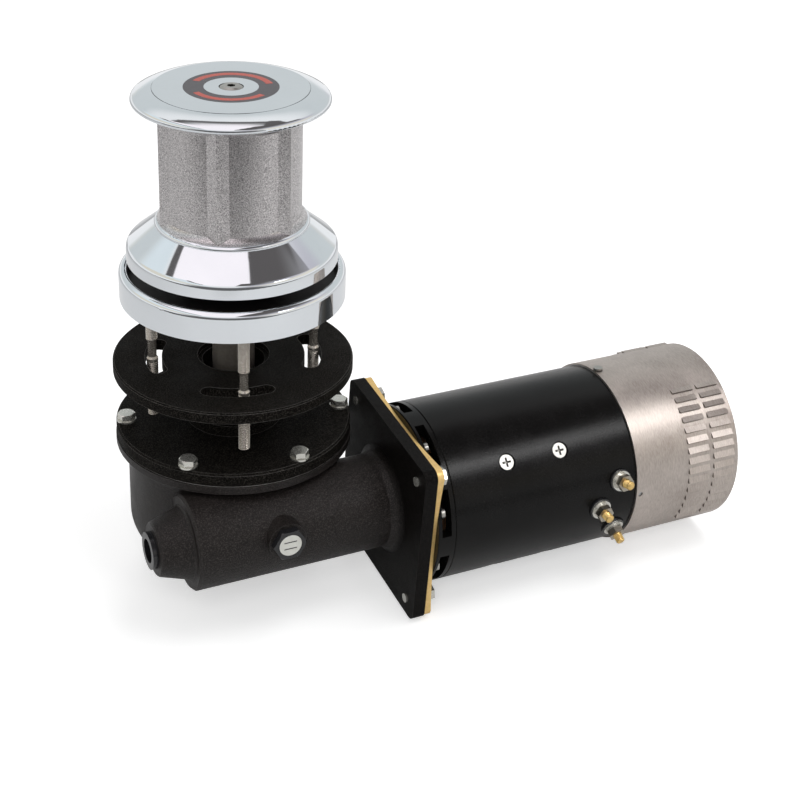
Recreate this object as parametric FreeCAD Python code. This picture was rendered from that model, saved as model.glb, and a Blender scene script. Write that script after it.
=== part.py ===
import FreeCAD, Part
import math
import os
from FreeCAD import Vector

os.makedirs("parts", exist_ok=True)

# Capstan above the deck. The deck plane is z = 0 and the capstan turns about z.
DRUM_H = 177.0
RIM_R = 78.6
WAIST_R = 60.2
WAIST_DIP = 4.7
DRUM_ENDS = 84.5
WAIST_L = DRUM_H - DRUM_ENDS
COVE = 7.5
RIDGES = 6
RIDGE_ANGLE = -121.0
RIDGE_W = 17.4
SKIRT_R = 85.8
SKIRT_BAND = 11.3
SKIRT_GAP = 7.7
BASE_R = 92.5
BASE_H = 25.3
CAP_T = 6.0
RING_R = 37.5
RING_BORE_R = 21.5

# Studs and the plate under the deck.
STUD_R = 4.95
STUD_CIRCLE_R = 67.5
STUD_ANGLE = -102.9
STUD_CLEAR = 5.0
DECK_GAP = 58.0
PLATE_T = 10.0
SLOT_SPAN = 40.5

# Gearbox.
NECK_H = 47.0
COVER_LIP = 9.2
COVER_T = 11.0
GASKET_T = 1.0
RIM_T = 8.0
BOWL_R = 89.8
PLATE_LIP = 10.2
PLATE_R = BOWL_R + PLATE_LIP
WALL = 7.0
WORM_DROP = 50.7
TUBE_R = 40.0
FLANGE_REACH = 13.2
FLANGE_CORNER = 8.0
FLANGE_T = 11.0
FLANGE_TURN = -5.0
BOSS_REACH = 8.7
OIL_RISE = 11.0

# Worm gear.
MODULE = 3.0
WHEEL_TEETH = 43
WORM_PITCH_R = 15.5
WHEEL_FACE = 20.0
FLANK_GAP = 0.11
SHAFT_R = 17.5
WORM_JOURNAL_R = 10.0

# Motor.
ADAPTOR_T = 6.0
MOTOR_R = 77.5
FLANGE_INSET = 1.5
FLANGE_HALF = MOTOR_R - FLANGE_INSET
MOTOR_WALL = 6.0
BELL_L = 16.0
TUBE_L = 173.5
BAND_L = 105.0
BAND_T = 1.2
POLES = 4
POLE_ANGLE = 40.0
LOUVRE_ROWS = 15
LOUVRE_L = 21.2
LOUVRE_W = 5.3
LOUVRE_GAP = 4.6
LOUVRE_RISE = 1.9

# Fits, radial.
RUN = 0.04
FIT = 0.02
SEAM = 0.3

# Heights, from the deck plane downwards.
SKIRT_Z = BASE_H + SKIRT_GAP
PLATE_TOP = -DECK_GAP
PLATE_LOW = PLATE_TOP - PLATE_T
COVER_TOP = PLATE_LOW - NECK_H
STUD_L = DECK_GAP + PLATE_T + NECK_H - STUD_CLEAR
STUD_TIP = -STUD_L
COVER_LOW = COVER_TOP - COVER_T
HOUSING_TOP = COVER_LOW - GASKET_T
HOUSING_RIM_LOW = HOUSING_TOP - RIM_T
AXIS_Z = HOUSING_TOP - WORM_DROP
WHEEL_PITCH_R = MODULE * WHEEL_TEETH / 2.0
CENTRES = WHEEL_PITCH_R + WORM_PITCH_R
AXIS_Y = -CENTRES
WHEEL_TIP_R = WHEEL_PITCH_R + MODULE
WORM_TIP_R = WORM_PITCH_R + MODULE
WORM_ROOT_R = WORM_PITCH_R - 1.2 * MODULE
AXIAL_PITCH = math.pi * MODULE
BOWL_LOW = AXIS_Z - 56.3
BOWL_FLOOR = BOWL_LOW + WALL
BOWL_IN_R = BOWL_R - WALL
COVER_R = BOWL_R + COVER_LIP
FLANGE_X = BOWL_R + FLANGE_REACH
BOSS_X = -BOWL_R - BOSS_REACH

# Lengths along the motor axis.
ADAPTOR_X = FLANGE_X + FLANGE_T
BELL_X = ADAPTOR_X + ADAPTOR_T
MOTOR_X = BELL_X + BELL_L
BAND_X = MOTOR_X + TUBE_L
END_X = BAND_X + BAND_L
MOTOR_IN_R = MOTOR_R - MOTOR_WALL
BAND_IN_R = MOTOR_R + 0.8
BAND_R = BAND_IN_R + BAND_T

Z = Vector(0, 0, 1)
O = Vector(0, 0, 0)


def rod(radius, low, high, x=0.0, y=0.0):
    return Part.makeCylinder(radius, high - low, Vector(x, y, low), Z)


def ring(outer, inner, low, high):
    return rod(outer, low, high).cut(rod(inner, low - 1.0, high + 1.0))


def lathe(points):
    corners = [Vector(r, 0, z) for r, z in points]
    corners.append(corners[0])
    face = Part.Face(Part.makePolygon(corners))
    return face.revolve(O, Z, 360)


def lathe_edges(edges):
    face = Part.Face(Part.Wire(edges))
    return face.revolve(O, Z, 360)


def line(a, b):
    return Part.makeLine(Vector(a[0], 0, a[1]), Vector(b[0], 0, b[1]))


def arc(a, b, c):
    return Part.Arc(Vector(a[0], 0, a[1]), Vector(b[0], 0, b[1]), Vector(c[0], 0, c[1])).toShape()


def prism(points, low, high):
    corners = [Vector(x, y, low) for x, y in points]
    corners.append(corners[0])
    return Part.Face(Part.makePolygon(corners)).extrude(Vector(0, 0, high - low))


def hexagon(flats, low, high):
    reach = flats / math.sqrt(3.0)
    points = []
    for i in range(6):
        a = math.radians(60.0 * i)
        points.append((reach * math.cos(a), reach * math.sin(a)))
    return prism(points, low, high)


def box(x0, x1, y0, y1, z0, z1):
    return Part.makeBox(x1 - x0, y1 - y0, z1 - z0, Vector(x0, y0, z0))


def turned(shape, degrees):
    copy = shape.copy()
    copy.rotate(O, Z, degrees)
    return copy


def moved(shape, x=0.0, y=0.0, z=0.0):
    copy = shape.copy()
    copy.translate(Vector(x, y, z))
    return copy


def around(shape, count, first):
    return [turned(shape, first + 360.0 * i / count) for i in range(count)]


def group(shapes):
    return Part.makeCompound(shapes)


def lay(shape):
    """Lay a shape built about z along the worm and motor axis, z becoming x."""
    copy = shape.copy()
    copy.rotate(O, Vector(0, 1, 0), 90)
    copy.translate(Vector(0, AXIS_Y, AXIS_Z))
    return copy


def radial(shape, degrees, station):
    """Point a shape built about z outwards from the motor axis, at an angle up from the front."""
    copy = shape.copy()
    copy.rotate(O, Vector(1, 0, 0), 90 - degrees)
    copy.translate(Vector(station, AXIS_Y, AXIS_Z))
    return copy


def sector(outer, inner, half, low, high):
    """Part of a ring, centred on the local -y direction."""
    reach = 2.0 * outer
    a = math.radians(half)
    wedge = prism([(0, 0), (-reach * math.sin(a), -reach * math.cos(a)),
                   (reach * math.sin(a), -reach * math.cos(a))], low, high)
    return ring(outer, inner, low, high).common(wedge)


def save(name, shape):
    shape.exportStep("parts/" + name + ".step")


# Drum: a turned body whose round waist carries six ridges, between a flare and the rim.
WAIST_MID_R = WAIST_R - WAIST_DIP
CORE_R = WAIST_MID_R - 1.0
CREST_R = WAIST_R + 0.6
CREST_EDGE = 2.6
SKIRT_EDGE = 3.0
CAP_R = RIM_R - 17.0
BAND_TOP = SKIRT_Z + SKIRT_BAND
CAP_SEAT = DRUM_H - CAP_T
RIM_Z = DRUM_H - 8.8
WAIST_TOP = RIM_Z - 8.2
WAIST_LOW = WAIST_TOP - WAIST_L
HUB_R = 26.0
SHOULDER_Z = SKIRT_Z - 3.0
DRUM_BORE_R = SHAFT_R - 2.5
FLARE_SWELL = 0.15
COVE_MID = CREST_R - 0.66 * (CREST_R - CORE_R)
flare_top = (CREST_R + 0.7 * CREST_EDGE, WAIST_LOW - 1.4 * CREST_EDGE)
flare_low = (SKIRT_R - 0.6 * SKIRT_EDGE, BAND_TOP + 0.9 * SKIRT_EDGE)
flare_run = math.hypot(flare_low[0] - flare_top[0], flare_top[1] - flare_low[1])
flare_mid = (
    (flare_top[0] + flare_low[0]) / 2.0 + FLARE_SWELL * (flare_top[1] - flare_low[1]) / flare_run,
    (flare_top[1] + flare_low[1]) / 2.0 + FLARE_SWELL * (flare_low[0] - flare_top[0]) / flare_run)
rim_edge = (RIM_R - 2.0, RIM_Z + 3.4)
drum = lathe_edges([
    line((HUB_R, SKIRT_Z), (SKIRT_R - 1.0, SKIRT_Z)),
    line((SKIRT_R - 1.0, SKIRT_Z), (SKIRT_R, SKIRT_Z + 1.0)),
    line((SKIRT_R, SKIRT_Z + 1.0), (SKIRT_R, BAND_TOP - 0.8 * SKIRT_EDGE)),
    arc((SKIRT_R, BAND_TOP - 0.8 * SKIRT_EDGE),
    (SKIRT_R - 0.13 * SKIRT_EDGE, BAND_TOP + 0.13 * SKIRT_EDGE), flare_low),
    arc(flare_low, flare_mid, flare_top),
    arc(flare_top, (CREST_R + 0.58 * CREST_EDGE, WAIST_LOW - 0.5 * CREST_EDGE), (CREST_R, WAIST_LOW)),
    arc((CREST_R, WAIST_LOW), (COVE_MID, WAIST_LOW + 0.42 * COVE), (CORE_R, WAIST_LOW + COVE)),
    line((CORE_R, WAIST_LOW + COVE), (CORE_R, WAIST_TOP - COVE)),
    arc((CORE_R, WAIST_TOP - COVE), (COVE_MID, WAIST_TOP - 0.42 * COVE), (CREST_R, WAIST_TOP)),
    line((CREST_R, WAIST_TOP), (RIM_R - 1.6, RIM_Z - 2.4)),
    arc((RIM_R - 1.6, RIM_Z - 2.4), (RIM_R - 0.4, RIM_Z - 1.4), (RIM_R, RIM_Z)),
    arc((RIM_R, RIM_Z), (RIM_R - 0.55, RIM_Z + 1.9), rim_edge),
    arc(rim_edge, (RIM_R - 9.4, DRUM_H - 2.0), (CAP_R + SEAM, DRUM_H - 0.3)),
    line((CAP_R + SEAM, DRUM_H - 0.3), (CAP_R + SEAM, CAP_SEAT)),
    line((CAP_R + SEAM, CAP_SEAT), (DRUM_BORE_R + FIT, CAP_SEAT)),
    line((DRUM_BORE_R + FIT, CAP_SEAT), (DRUM_BORE_R + FIT, SHOULDER_Z)),
    line((DRUM_BORE_R + FIT, SHOULDER_Z), (HUB_R, SHOULDER_Z)),
    line((HUB_R, SHOULDER_Z), (HUB_R, SKIRT_Z)),
])
half_rib = RIDGE_W / 2.0 / WAIST_MID_R


def waist_point(radius, angle):
    return Vector(radius * math.cos(angle), radius * math.sin(angle), WAIST_LOW - 1.0)


side = []
for i in range(RIDGES):
    crest = 2.0 * math.pi * i / RIDGES
    following = 2.0 * math.pi * (i + 1) / RIDGES
    before = waist_point(WAIST_MID_R, crest - half_rib)
    after = waist_point(WAIST_MID_R, crest + half_rib)
    middle = waist_point(WAIST_MID_R, (crest + following) / 2.0)
    stop = waist_point(WAIST_MID_R, following - half_rib)
    side.append(Part.makeLine(before, waist_point(WAIST_R, crest)))
    side.append(Part.makeLine(waist_point(WAIST_R, crest), after))
    side.append(Part.Arc(after, middle, stop).toShape())
waist = Part.Face(Part.Wire(side)).extrude(Vector(0, 0, WAIST_L + 2.0))
waist = waist.cut(rod(CORE_R - 4.0, WAIST_LOW - 2.0, WAIST_TOP + 2.0))
waist = turned(waist, RIDGE_ANGLE)
drum = drum.fuse(waist)
INNER_R = CORE_R - 8.0
drum = drum.cut(lathe([
    (HUB_R, SKIRT_Z - 1.0), (SKIRT_R - 11.0, SKIRT_Z - 1.0), (SKIRT_R - 11.0, SKIRT_Z + 6.0),
    (INNER_R, WAIST_LOW + 4.0), (INNER_R, WAIST_TOP - 9.0), (HUB_R, WAIST_TOP - 9.0),
]))
KEY_W = 8.0
KEY_H = 7.0
KEY_LOW = SHOULDER_Z + 20.0
KEY_TOP = KEY_LOW + 45.0
KEY_FLOOR = DRUM_BORE_R - 4.0
drum = drum.cut(box(0, KEY_FLOOR + KEY_H + 0.2, -KEY_W / 2 - FIT, KEY_W / 2 + FIT,
    SHOULDER_Z - 1.0, CAP_SEAT))
drum = drum.removeSplitter()
save("drum", drum)
save("drum_key", box(KEY_FLOOR, KEY_FLOOR + KEY_H, -KEY_W / 2, KEY_W / 2, KEY_LOW, KEY_TOP))

# Cap disc with the ring let into it and its centre screw.
RING_T = 0.8
HEAD_R = 9.5
HEAD_SEAT = DRUM_H - 3.5
SCREW_R = 5.0
cap = rod(CAP_R, CAP_SEAT, DRUM_H)
cap = cap.cut(ring(RING_R + 0.05, RING_BORE_R - 0.05, DRUM_H - RING_T, DRUM_H + 1.0))
cap = cap.cut(rod(HEAD_R + SEAM, HEAD_SEAT, DRUM_H + 1.0))
cap = cap.cut(rod(SCREW_R + 0.5, CAP_SEAT - 1.0, DRUM_H))
save("drum_cap", cap)
save("cap_ring", ring(RING_R, RING_BORE_R, DRUM_H - RING_T, DRUM_H - 0.1))
SHAFT_TOP = CAP_SEAT - 4.0
screw = rod(HEAD_R, HEAD_SEAT, DRUM_H - 0.6).fuse(
    lathe([(0, DRUM_H - 0.6), (HEAD_R, DRUM_H - 0.6), (HEAD_R - 2.5, DRUM_H + 1.0), (0, DRUM_H + 1.0)]))
screw = screw.fuse(rod(SCREW_R, SHAFT_TOP - 20.0, HEAD_SEAT))
screw = screw.cut(hexagon(6.0, DRUM_H - 2.6, DRUM_H + 2.0))
save("cap_screw", screw.removeSplitter())

# Output shaft, from the drum down to the floor of the gearbox.
FOOT_R = SHAFT_R - 5.0
STEP_R = SHAFT_R - 2.5
UP_BEARING_W = 14.0
UP_BEARING_R = SHAFT_R + 13.5
LOW_BEARING_W = 15.0
LOW_BEARING_R = FOOT_R + 13.5
HUB_LOW = AXIS_Z - 16.0
HUB_TOP = AXIS_Z + 18.0
CIRCLIP_T = 2.0
LOW_BEARING_TOP = BOWL_FLOOR + LOW_BEARING_W
STEP_Z = HUB_LOW - CIRCLIP_T - 4.0
FOOT_Z = BOWL_FLOOR + 0.5
WHEEL_KEY_LOW = HUB_LOW + 4.0
WHEEL_KEY_TOP = HUB_TOP - 4.0
WHEEL_KEY_FLOOR = SHAFT_R - 4.0
shaft = lathe([
    (0, FOOT_Z), (FOOT_R, FOOT_Z), (FOOT_R, LOW_BEARING_TOP), (STEP_R, LOW_BEARING_TOP), (STEP_R, STEP_Z),
    (SHAFT_R, STEP_Z), (SHAFT_R, HUB_LOW - CIRCLIP_T), (SHAFT_R - 1.5, HUB_LOW - CIRCLIP_T),
    (SHAFT_R - 1.5, HUB_LOW), (SHAFT_R, HUB_LOW), (SHAFT_R, SHOULDER_Z), (DRUM_BORE_R, SHOULDER_Z),
    (DRUM_BORE_R, SHAFT_TOP), (0, SHAFT_TOP),
])
shaft = shaft.cut(rod(SCREW_R + FIT, SHAFT_TOP - 24.0, SHAFT_TOP + 1.0))
shaft = shaft.cut(box(KEY_FLOOR, SHAFT_R + 1, -KEY_W / 2 - FIT, KEY_W / 2 + FIT, KEY_LOW, KEY_TOP))
shaft = shaft.cut(box(WHEEL_KEY_FLOOR, SHAFT_R + 1, -KEY_W / 2 - FIT, KEY_W / 2 + FIT,
                      WHEEL_KEY_LOW, WHEEL_KEY_TOP))
save("output_shaft", shaft)
save("wheel_key", box(WHEEL_KEY_FLOOR, WHEEL_KEY_FLOOR + KEY_H, -KEY_W / 2, KEY_W / 2,
                      WHEEL_KEY_LOW, WHEEL_KEY_TOP))
clip = ring(SHAFT_R + 3.0, SHAFT_R - 1.5 + FIT, HUB_LOW - CIRCLIP_T, HUB_LOW)
clip = clip.cut(box(0, SHAFT_R + 4.0, -3.0, 3.0, HUB_LOW - 4.0, HUB_LOW + 1.0))
save("shaft_circlip", clip)
UP_BEARING_LOW = COVER_LOW
UP_BEARING_TOP = UP_BEARING_LOW + UP_BEARING_W
save("shaft_spacer", ring(SHAFT_R + 5.0, SHAFT_R + FIT, HUB_TOP, UP_BEARING_LOW))


def bearing(bore, outer, low, high):
    width = high - low
    depth = 1.2
    mid = (bore + outer) / 2.0
    band = (outer - bore) / 4.0
    race = ring(outer, bore, low, high)
    race = race.cut(ring(mid + band, mid - band, high - depth, high + 1.0))
    return race.cut(ring(mid + band, mid - band, low - 1.0, low + depth * min(1.0, width)))


save("upper_bearing", bearing(SHAFT_R + RUN, UP_BEARING_R, UP_BEARING_LOW, UP_BEARING_TOP))
save("lower_bearing", bearing(FOOT_R + RUN, LOW_BEARING_R, BOWL_FLOOR, LOW_BEARING_TOP))

# Worm wheel: a bronze rim with helical teeth, bolted on a hub.
lead_slope = AXIAL_PITCH / (2.0 * math.pi * WORM_PITCH_R)
pressure = math.radians(20.0)
base_r = WHEEL_PITCH_R * math.cos(pressure)
WHEEL_ROOT_R = WHEEL_PITCH_R - 1.2 * MODULE
WHEEL_LOW = AXIS_Z - WHEEL_FACE / 2.0
WHEEL_TOP = AXIS_Z + WHEEL_FACE / 2.0


def involute(a):
    return math.tan(a) - a


def tooth_half(r):
    a = math.acos(min(1.0, base_r / r))
    half = math.pi / (2.0 * WHEEL_TEETH) - FLANK_GAP / WHEEL_PITCH_R
    return half + involute(pressure) - involute(a)


def wheel_outline(height):
    twist = (height - AXIS_Z) * lead_slope / WHEEL_PITCH_R
    corners = []
    for i in range(WHEEL_TEETH):
        centre = -math.pi / 2.0 + 2.0 * math.pi * (i + 0.5) / WHEEL_TEETH + twist
        flank = [WHEEL_ROOT_R, (WHEEL_ROOT_R + WHEEL_TIP_R) / 2.0, WHEEL_TIP_R]
        for r in flank:
            a = centre - tooth_half(r)
            corners.append(Vector(r * math.cos(a), r * math.sin(a), height))
        for r in reversed(flank):
            a = centre + tooth_half(r)
            corners.append(Vector(r * math.cos(a), r * math.sin(a), height))
    corners.append(corners[0])
    return Part.makePolygon(corners)


RIM_SEAT_R = WHEEL_ROOT_R - 14.0
WHEEL_BOLT_R = RIM_SEAT_R + 6.0
toothed = Part.makeLoft([wheel_outline(WHEEL_LOW), wheel_outline(WHEEL_TOP)], True, True)
rim = toothed.cut(rod(RIM_SEAT_R + FIT, WHEEL_LOW - 1.0, WHEEL_TOP + 1.0))
for hole in around(rod(2.6, WHEEL_LOW - 1.0, WHEEL_TOP + 1.0, WHEEL_BOLT_R), 6, 0.0):
    rim = rim.cut(hole)
save("wheel_rim", rim)
FLANGE_UP = WHEEL_TOP + 5.0
hub = lathe([
    (SHAFT_R + FIT, HUB_LOW), (SHAFT_R + 10.0, HUB_LOW), (SHAFT_R + 10.0, WHEEL_LOW + 4.0),
    (RIM_SEAT_R, WHEEL_LOW + 4.0), (RIM_SEAT_R, WHEEL_TOP), (WHEEL_ROOT_R - 2.0, WHEEL_TOP),
    (WHEEL_ROOT_R - 2.0, FLANGE_UP), (SHAFT_R + 10.0, FLANGE_UP), (SHAFT_R + 10.0, HUB_TOP),
    (SHAFT_R + FIT, HUB_TOP),
])
hub = hub.cut(box(0, WHEEL_KEY_FLOOR + KEY_H + 0.2, -KEY_W / 2 - FIT, KEY_W / 2 + FIT, HUB_LOW - 1,
    HUB_TOP + 1))
for hole in around(rod(2.6, WHEEL_TOP - 1.0, FLANGE_UP + 1.0, WHEEL_BOLT_R), 6, 0.0):
    hub = hub.cut(hole)
save("wheel_hub", hub)
wheel_bolt = rod(2.5, WHEEL_LOW + 3.0, FLANGE_UP).fuse(hexagon(8.0, FLANGE_UP, FLANGE_UP + 3.5))
wheel_bolt = moved(wheel_bolt.removeSplitter(), WHEEL_BOLT_R)
save("wheel_bolts", group(around(wheel_bolt, 6, 0.0)))

# Base ring, its bush and the deck studs.
BUSH_R = SHAFT_R + 4.5
BOSS_TOP = SHOULDER_Z - 6.0
BASE_FLOOR = BASE_H - 12.0
base = lathe_edges([
    line((BUSH_R, 0), (BASE_R, 0)),
    line((BASE_R, 0), (BASE_R, BASE_H - 5.0)),
    arc((BASE_R, BASE_H - 5.0), (BASE_R - 1.4, BASE_H - 1.5), (BASE_R - 4.4, BASE_H)),
    arc((BASE_R - 4.4, BASE_H), (BASE_R - 6.2, BASE_H - 0.7), (BASE_R - 7.0, BASE_H - 2.4)),
    line((BASE_R - 7.0, BASE_H - 2.4), (BASE_R - 8.0, BASE_FLOOR)),
    line((BASE_R - 8.0, BASE_FLOOR), (BUSH_R + 22.0, BASE_FLOOR)),
    line((BUSH_R + 22.0, BASE_FLOOR), (BUSH_R + 16.0, BOSS_TOP)),
    line((BUSH_R + 16.0, BOSS_TOP), (BUSH_R, BOSS_TOP)),
    line((BUSH_R, BOSS_TOP), (BUSH_R, 0)),
])
STUD_DEPTH = BASE_FLOOR - 1.5
STUD_SEAT_R = STUD_R - 0.75
stud_mouth = lathe([(0, -1.0), (STUD_R + 1.9, -1.0), (STUD_SEAT_R, 1.65), (0, 1.65)])
stud_hole = rod(STUD_SEAT_R + FIT, -1.0, STUD_DEPTH).fuse(stud_mouth)
base = base.cut(around(moved(stud_hole, STUD_CIRCLE_R), 4, STUD_ANGLE))
save("base_ring", base)
bush = ring(BUSH_R - FIT, SHAFT_R + RUN, 0.0, BOSS_TOP)
bush = bush.fuse(ring(BUSH_R + 5.0, SHAFT_R + RUN, BOSS_TOP, BOSS_TOP + 2.5)).removeSplitter()
save("base_bush", bush)
SLIM_R = STUD_R - 1.25
SLIM_TOP = PLATE_TOP + 19.5
SLIM_LOW = PLATE_TOP + 2.0
stud = lathe([
    (0, STUD_DEPTH), (STUD_SEAT_R - 0.8, STUD_DEPTH), (STUD_SEAT_R, STUD_DEPTH - 0.8), (STUD_SEAT_R, 0.0),
    (STUD_R, 0.0), (STUD_R, SLIM_TOP),
    (SLIM_R, SLIM_TOP - 1.5), (SLIM_R, SLIM_LOW + 1.5), (STUD_R, SLIM_LOW),
    (STUD_R, STUD_TIP + 1.2), (STUD_R - 1.2, STUD_TIP), (0, STUD_TIP),
])
save("deck_studs", group(around(moved(stud, STUD_CIRCLE_R), 4, STUD_ANGLE)))

# Mounting plate with a kidney slot for each stud.
NECK_R = SHAFT_R + 12.5
SHOULDER_R = NECK_R + 4.0
SLOT_R = STUD_CIRCLE_R - 1.0
SLOT_HALF = STUD_R + 2.0
plate = lathe([
    (NECK_R + FIT, PLATE_LOW), (PLATE_R - 0.8, PLATE_LOW), (PLATE_R, PLATE_LOW + 0.8),
    (PLATE_R, PLATE_TOP - 1.2), (PLATE_R - 1.2, PLATE_TOP), (NECK_R + FIT, PLATE_TOP),
])
slot_low = PLATE_LOW - 1.0
slot_top = PLATE_TOP + 1.0
slot = sector(SLOT_R + SLOT_HALF, SLOT_R - SLOT_HALF, SLOT_SPAN / 2.0, slot_low, slot_top)
for end in (-1, 1):
    a = math.radians(-90.0 + end * SLOT_SPAN / 2.0)
    slot = slot.fuse(rod(SLOT_HALF, slot_low, slot_top, SLOT_R * math.cos(a), SLOT_R * math.sin(a)))
for cutter in around(slot, 4, STUD_ANGLE + 90.0 - 4.0):
    plate = plate.cut(cutter)
save("mounting_plate", plate)

# Gearbox cover with the neck that carries the plate.
NECK_TOP = PLATE_TOP - 4.0
NECK_BORE_R = NECK_R - 4.0
COVER_BOLTS = 6
COVER_BOLT_ANGLE = -134.0
COVER_BOLT_R = COVER_R - 8.5
BOLT_R = 4.0
BOLT_FLATS = 13.0
WASHER_R = 8.0
WASHER_T = 1.6
EDGE = 1.6
cover = lathe([
    (NECK_BORE_R, UP_BEARING_TOP), (NECK_BORE_R, NECK_TOP), (NECK_R, NECK_TOP), (NECK_R, PLATE_LOW),
    (SHOULDER_R, PLATE_LOW), (SHOULDER_R, COVER_TOP + 6.0), (SHOULDER_R + 6.0, COVER_TOP),
    (COVER_R - EDGE, COVER_TOP), (COVER_R, COVER_TOP - EDGE), (COVER_R, COVER_LOW),
    (UP_BEARING_R + FIT, COVER_LOW), (UP_BEARING_R + FIT, UP_BEARING_TOP),
])
for hole in around(rod(BOLT_R + 0.3, COVER_LOW - 1, COVER_TOP + 1, COVER_BOLT_R),
    COVER_BOLTS, COVER_BOLT_ANGLE):
    cover = cover.cut(hole)
save("gearbox_cover", cover)
save("shaft_seal", ring(NECK_BORE_R - FIT, SHAFT_R + RUN, UP_BEARING_TOP, UP_BEARING_TOP + 8.0))
gasket = ring(COVER_R - 1.0, BOWL_IN_R, HOUSING_TOP, COVER_LOW)
for hole in around(rod(BOLT_R + 0.3, HOUSING_TOP - 1, COVER_LOW + 1, COVER_BOLT_R),
    COVER_BOLTS, COVER_BOLT_ANGLE):
    gasket = gasket.cut(hole)
save("cover_gasket", gasket)
head_z = COVER_TOP + WASHER_T
bolt = rod(BOLT_R, HOUSING_RIM_LOW + 0.5, head_z)
bolt = bolt.fuse(hexagon(BOLT_FLATS, head_z, head_z + 5.5)).removeSplitter()
bolt = bolt.common(lathe([
    (0, HOUSING_RIM_LOW), (7.6, HOUSING_RIM_LOW), (7.6, head_z + 4.7), (6.2, head_z + 5.5),
    (0, head_z + 5.5)]))
save("cover_bolts", group(around(moved(bolt, COVER_BOLT_R), COVER_BOLTS, COVER_BOLT_ANGLE)))
washer = moved(ring(WASHER_R, BOLT_R + 0.25, COVER_TOP, head_z), COVER_BOLT_R)
save("cover_washers", group(around(washer, COVER_BOLTS, COVER_BOLT_ANGLE)))

# Gearbox housing: bowl, worm tube, stepped end boss and square flange.
CORNER = 32.0
corner_in = CORNER - WALL
diag = 1.0 - math.sqrt(0.5)
bowl = lathe_edges([
    line((0, HOUSING_TOP), (COVER_R + 0.5, HOUSING_TOP)),
    line((COVER_R + 0.5, HOUSING_TOP), (COVER_R + 0.5, HOUSING_RIM_LOW + 2.0)),
    line((COVER_R + 0.5, HOUSING_RIM_LOW + 2.0), (COVER_R - 2.0, HOUSING_RIM_LOW)),
    line((COVER_R - 2.0, HOUSING_RIM_LOW), (BOWL_R + 1.0, HOUSING_RIM_LOW - 3.0)),
    line((BOWL_R + 1.0, HOUSING_RIM_LOW - 3.0), (BOWL_R, HOUSING_RIM_LOW - 8.0)),
    line((BOWL_R, HOUSING_RIM_LOW - 8.0), (BOWL_R, BOWL_LOW + CORNER)),
    arc((BOWL_R, BOWL_LOW + CORNER), (BOWL_R - diag * CORNER, BOWL_LOW + diag * CORNER),
    (BOWL_R - CORNER, BOWL_LOW)),
    line((BOWL_R - CORNER, BOWL_LOW), (0, BOWL_LOW)),
    line((0, BOWL_LOW), (0, HOUSING_TOP)),
])
hollow = lathe_edges([
    line((0, HOUSING_TOP + 1.0), (BOWL_IN_R, HOUSING_TOP + 1.0)),
    line((BOWL_IN_R, HOUSING_TOP + 1.0), (BOWL_IN_R, BOWL_FLOOR + corner_in)),
    arc((BOWL_IN_R, BOWL_FLOOR + corner_in),
        (BOWL_IN_R - diag * corner_in, BOWL_FLOOR + diag * corner_in),
        (BOWL_IN_R - corner_in, BOWL_FLOOR)),
    line((BOWL_IN_R - corner_in, BOWL_FLOOR), (0, BOWL_FLOOR)),
    line((0, BOWL_FLOOR), (0, HOUSING_TOP + 1.0)),
])
WORM_BEARING_W = 15.0
WORM_BEARING_R = WORM_JOURNAL_R + 16.0
TUBE_LEFT = BOSS_X + 26.3
LEFT_BEARING = TUBE_LEFT + 6.2
RIGHT_BEARING = FLANGE_X - 41.0
CHAMBER_R = max(WORM_TIP_R + 4.0, WORM_BEARING_R + 4.0)
BUSH_FLANGE_R = WORM_JOURNAL_R + 5.5
BUSH_SPIGOT_R = WORM_JOURNAL_R + 4.0
BOSS_R = BUSH_SPIGOT_R + 8.5
tube = lathe([
    (0, BOSS_X), (BOSS_R - 1.2, BOSS_X), (BOSS_R, BOSS_X + 1.2), (TUBE_R - 11.0, TUBE_LEFT - 4.8),
    (TUBE_R - 9.6, TUBE_LEFT - 1.4), (TUBE_R - 8.0, TUBE_LEFT), (TUBE_R - 2.0, TUBE_LEFT),
    (TUBE_R, TUBE_LEFT + 2.0),
    (TUBE_R, FLANGE_X - 9.0), (TUBE_R + 2.0, FLANGE_X - 4.0), (TUBE_R + 7.0, FLANGE_X),
    (TUBE_R + 7.0, FLANGE_X + 1.0), (0, FLANGE_X + 1.0),
])


def rounded_square(half, corner, low, high):
    plate_shape = box(-half, half, -half + corner, half - corner, low, high)
    plate_shape = plate_shape.fuse(box(-half + corner, half - corner, -half, half, low, high))
    for sx in (-1, 1):
        for sy in (-1, 1):
            plate_shape = plate_shape.fuse(rod(corner, low, high, sx * (half - corner),
                sy * (half - corner)))
    return plate_shape.removeSplitter()


FLANGE_BOLT_R = MOTOR_R + WASHER_R + 0.6
FLANGE_BOLT_ANGLE = 45.0 - FLANGE_TURN
flange = turned(rounded_square(FLANGE_HALF, FLANGE_CORNER, FLANGE_X, ADAPTOR_X), -FLANGE_TURN)
OIL_R = 16.0
OIL_FACE = AXIS_Y - TUBE_R - 5.0
OIL_Z = AXIS_Z + OIL_RISE
oil_boss = Part.makeCylinder(OIL_R, TUBE_R * 0.6, Vector(0, OIL_FACE, OIL_Z), Vector(0, 1, 0))
SEAT_R = 6.0
foot_boss = rod(LOW_BEARING_R + SEAT_R, BOWL_LOW + 1.0, LOW_BEARING_TOP)
housing = bowl.cut(hollow)
housing = housing.fuse([lay(tube), lay(flange), oil_boss, foot_boss])
housing = housing.cut(lay(rod(WORM_BEARING_R + FIT, LEFT_BEARING, ADAPTOR_X + 1.0)))
housing = housing.cut(lay(rod(CHAMBER_R, LEFT_BEARING + WORM_BEARING_W + 3.0, RIGHT_BEARING - 3.0)))
housing = housing.cut(lay(rod(BUSH_SPIGOT_R + FIT, BOSS_X - 1.0, LEFT_BEARING + 1.0)))
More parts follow.
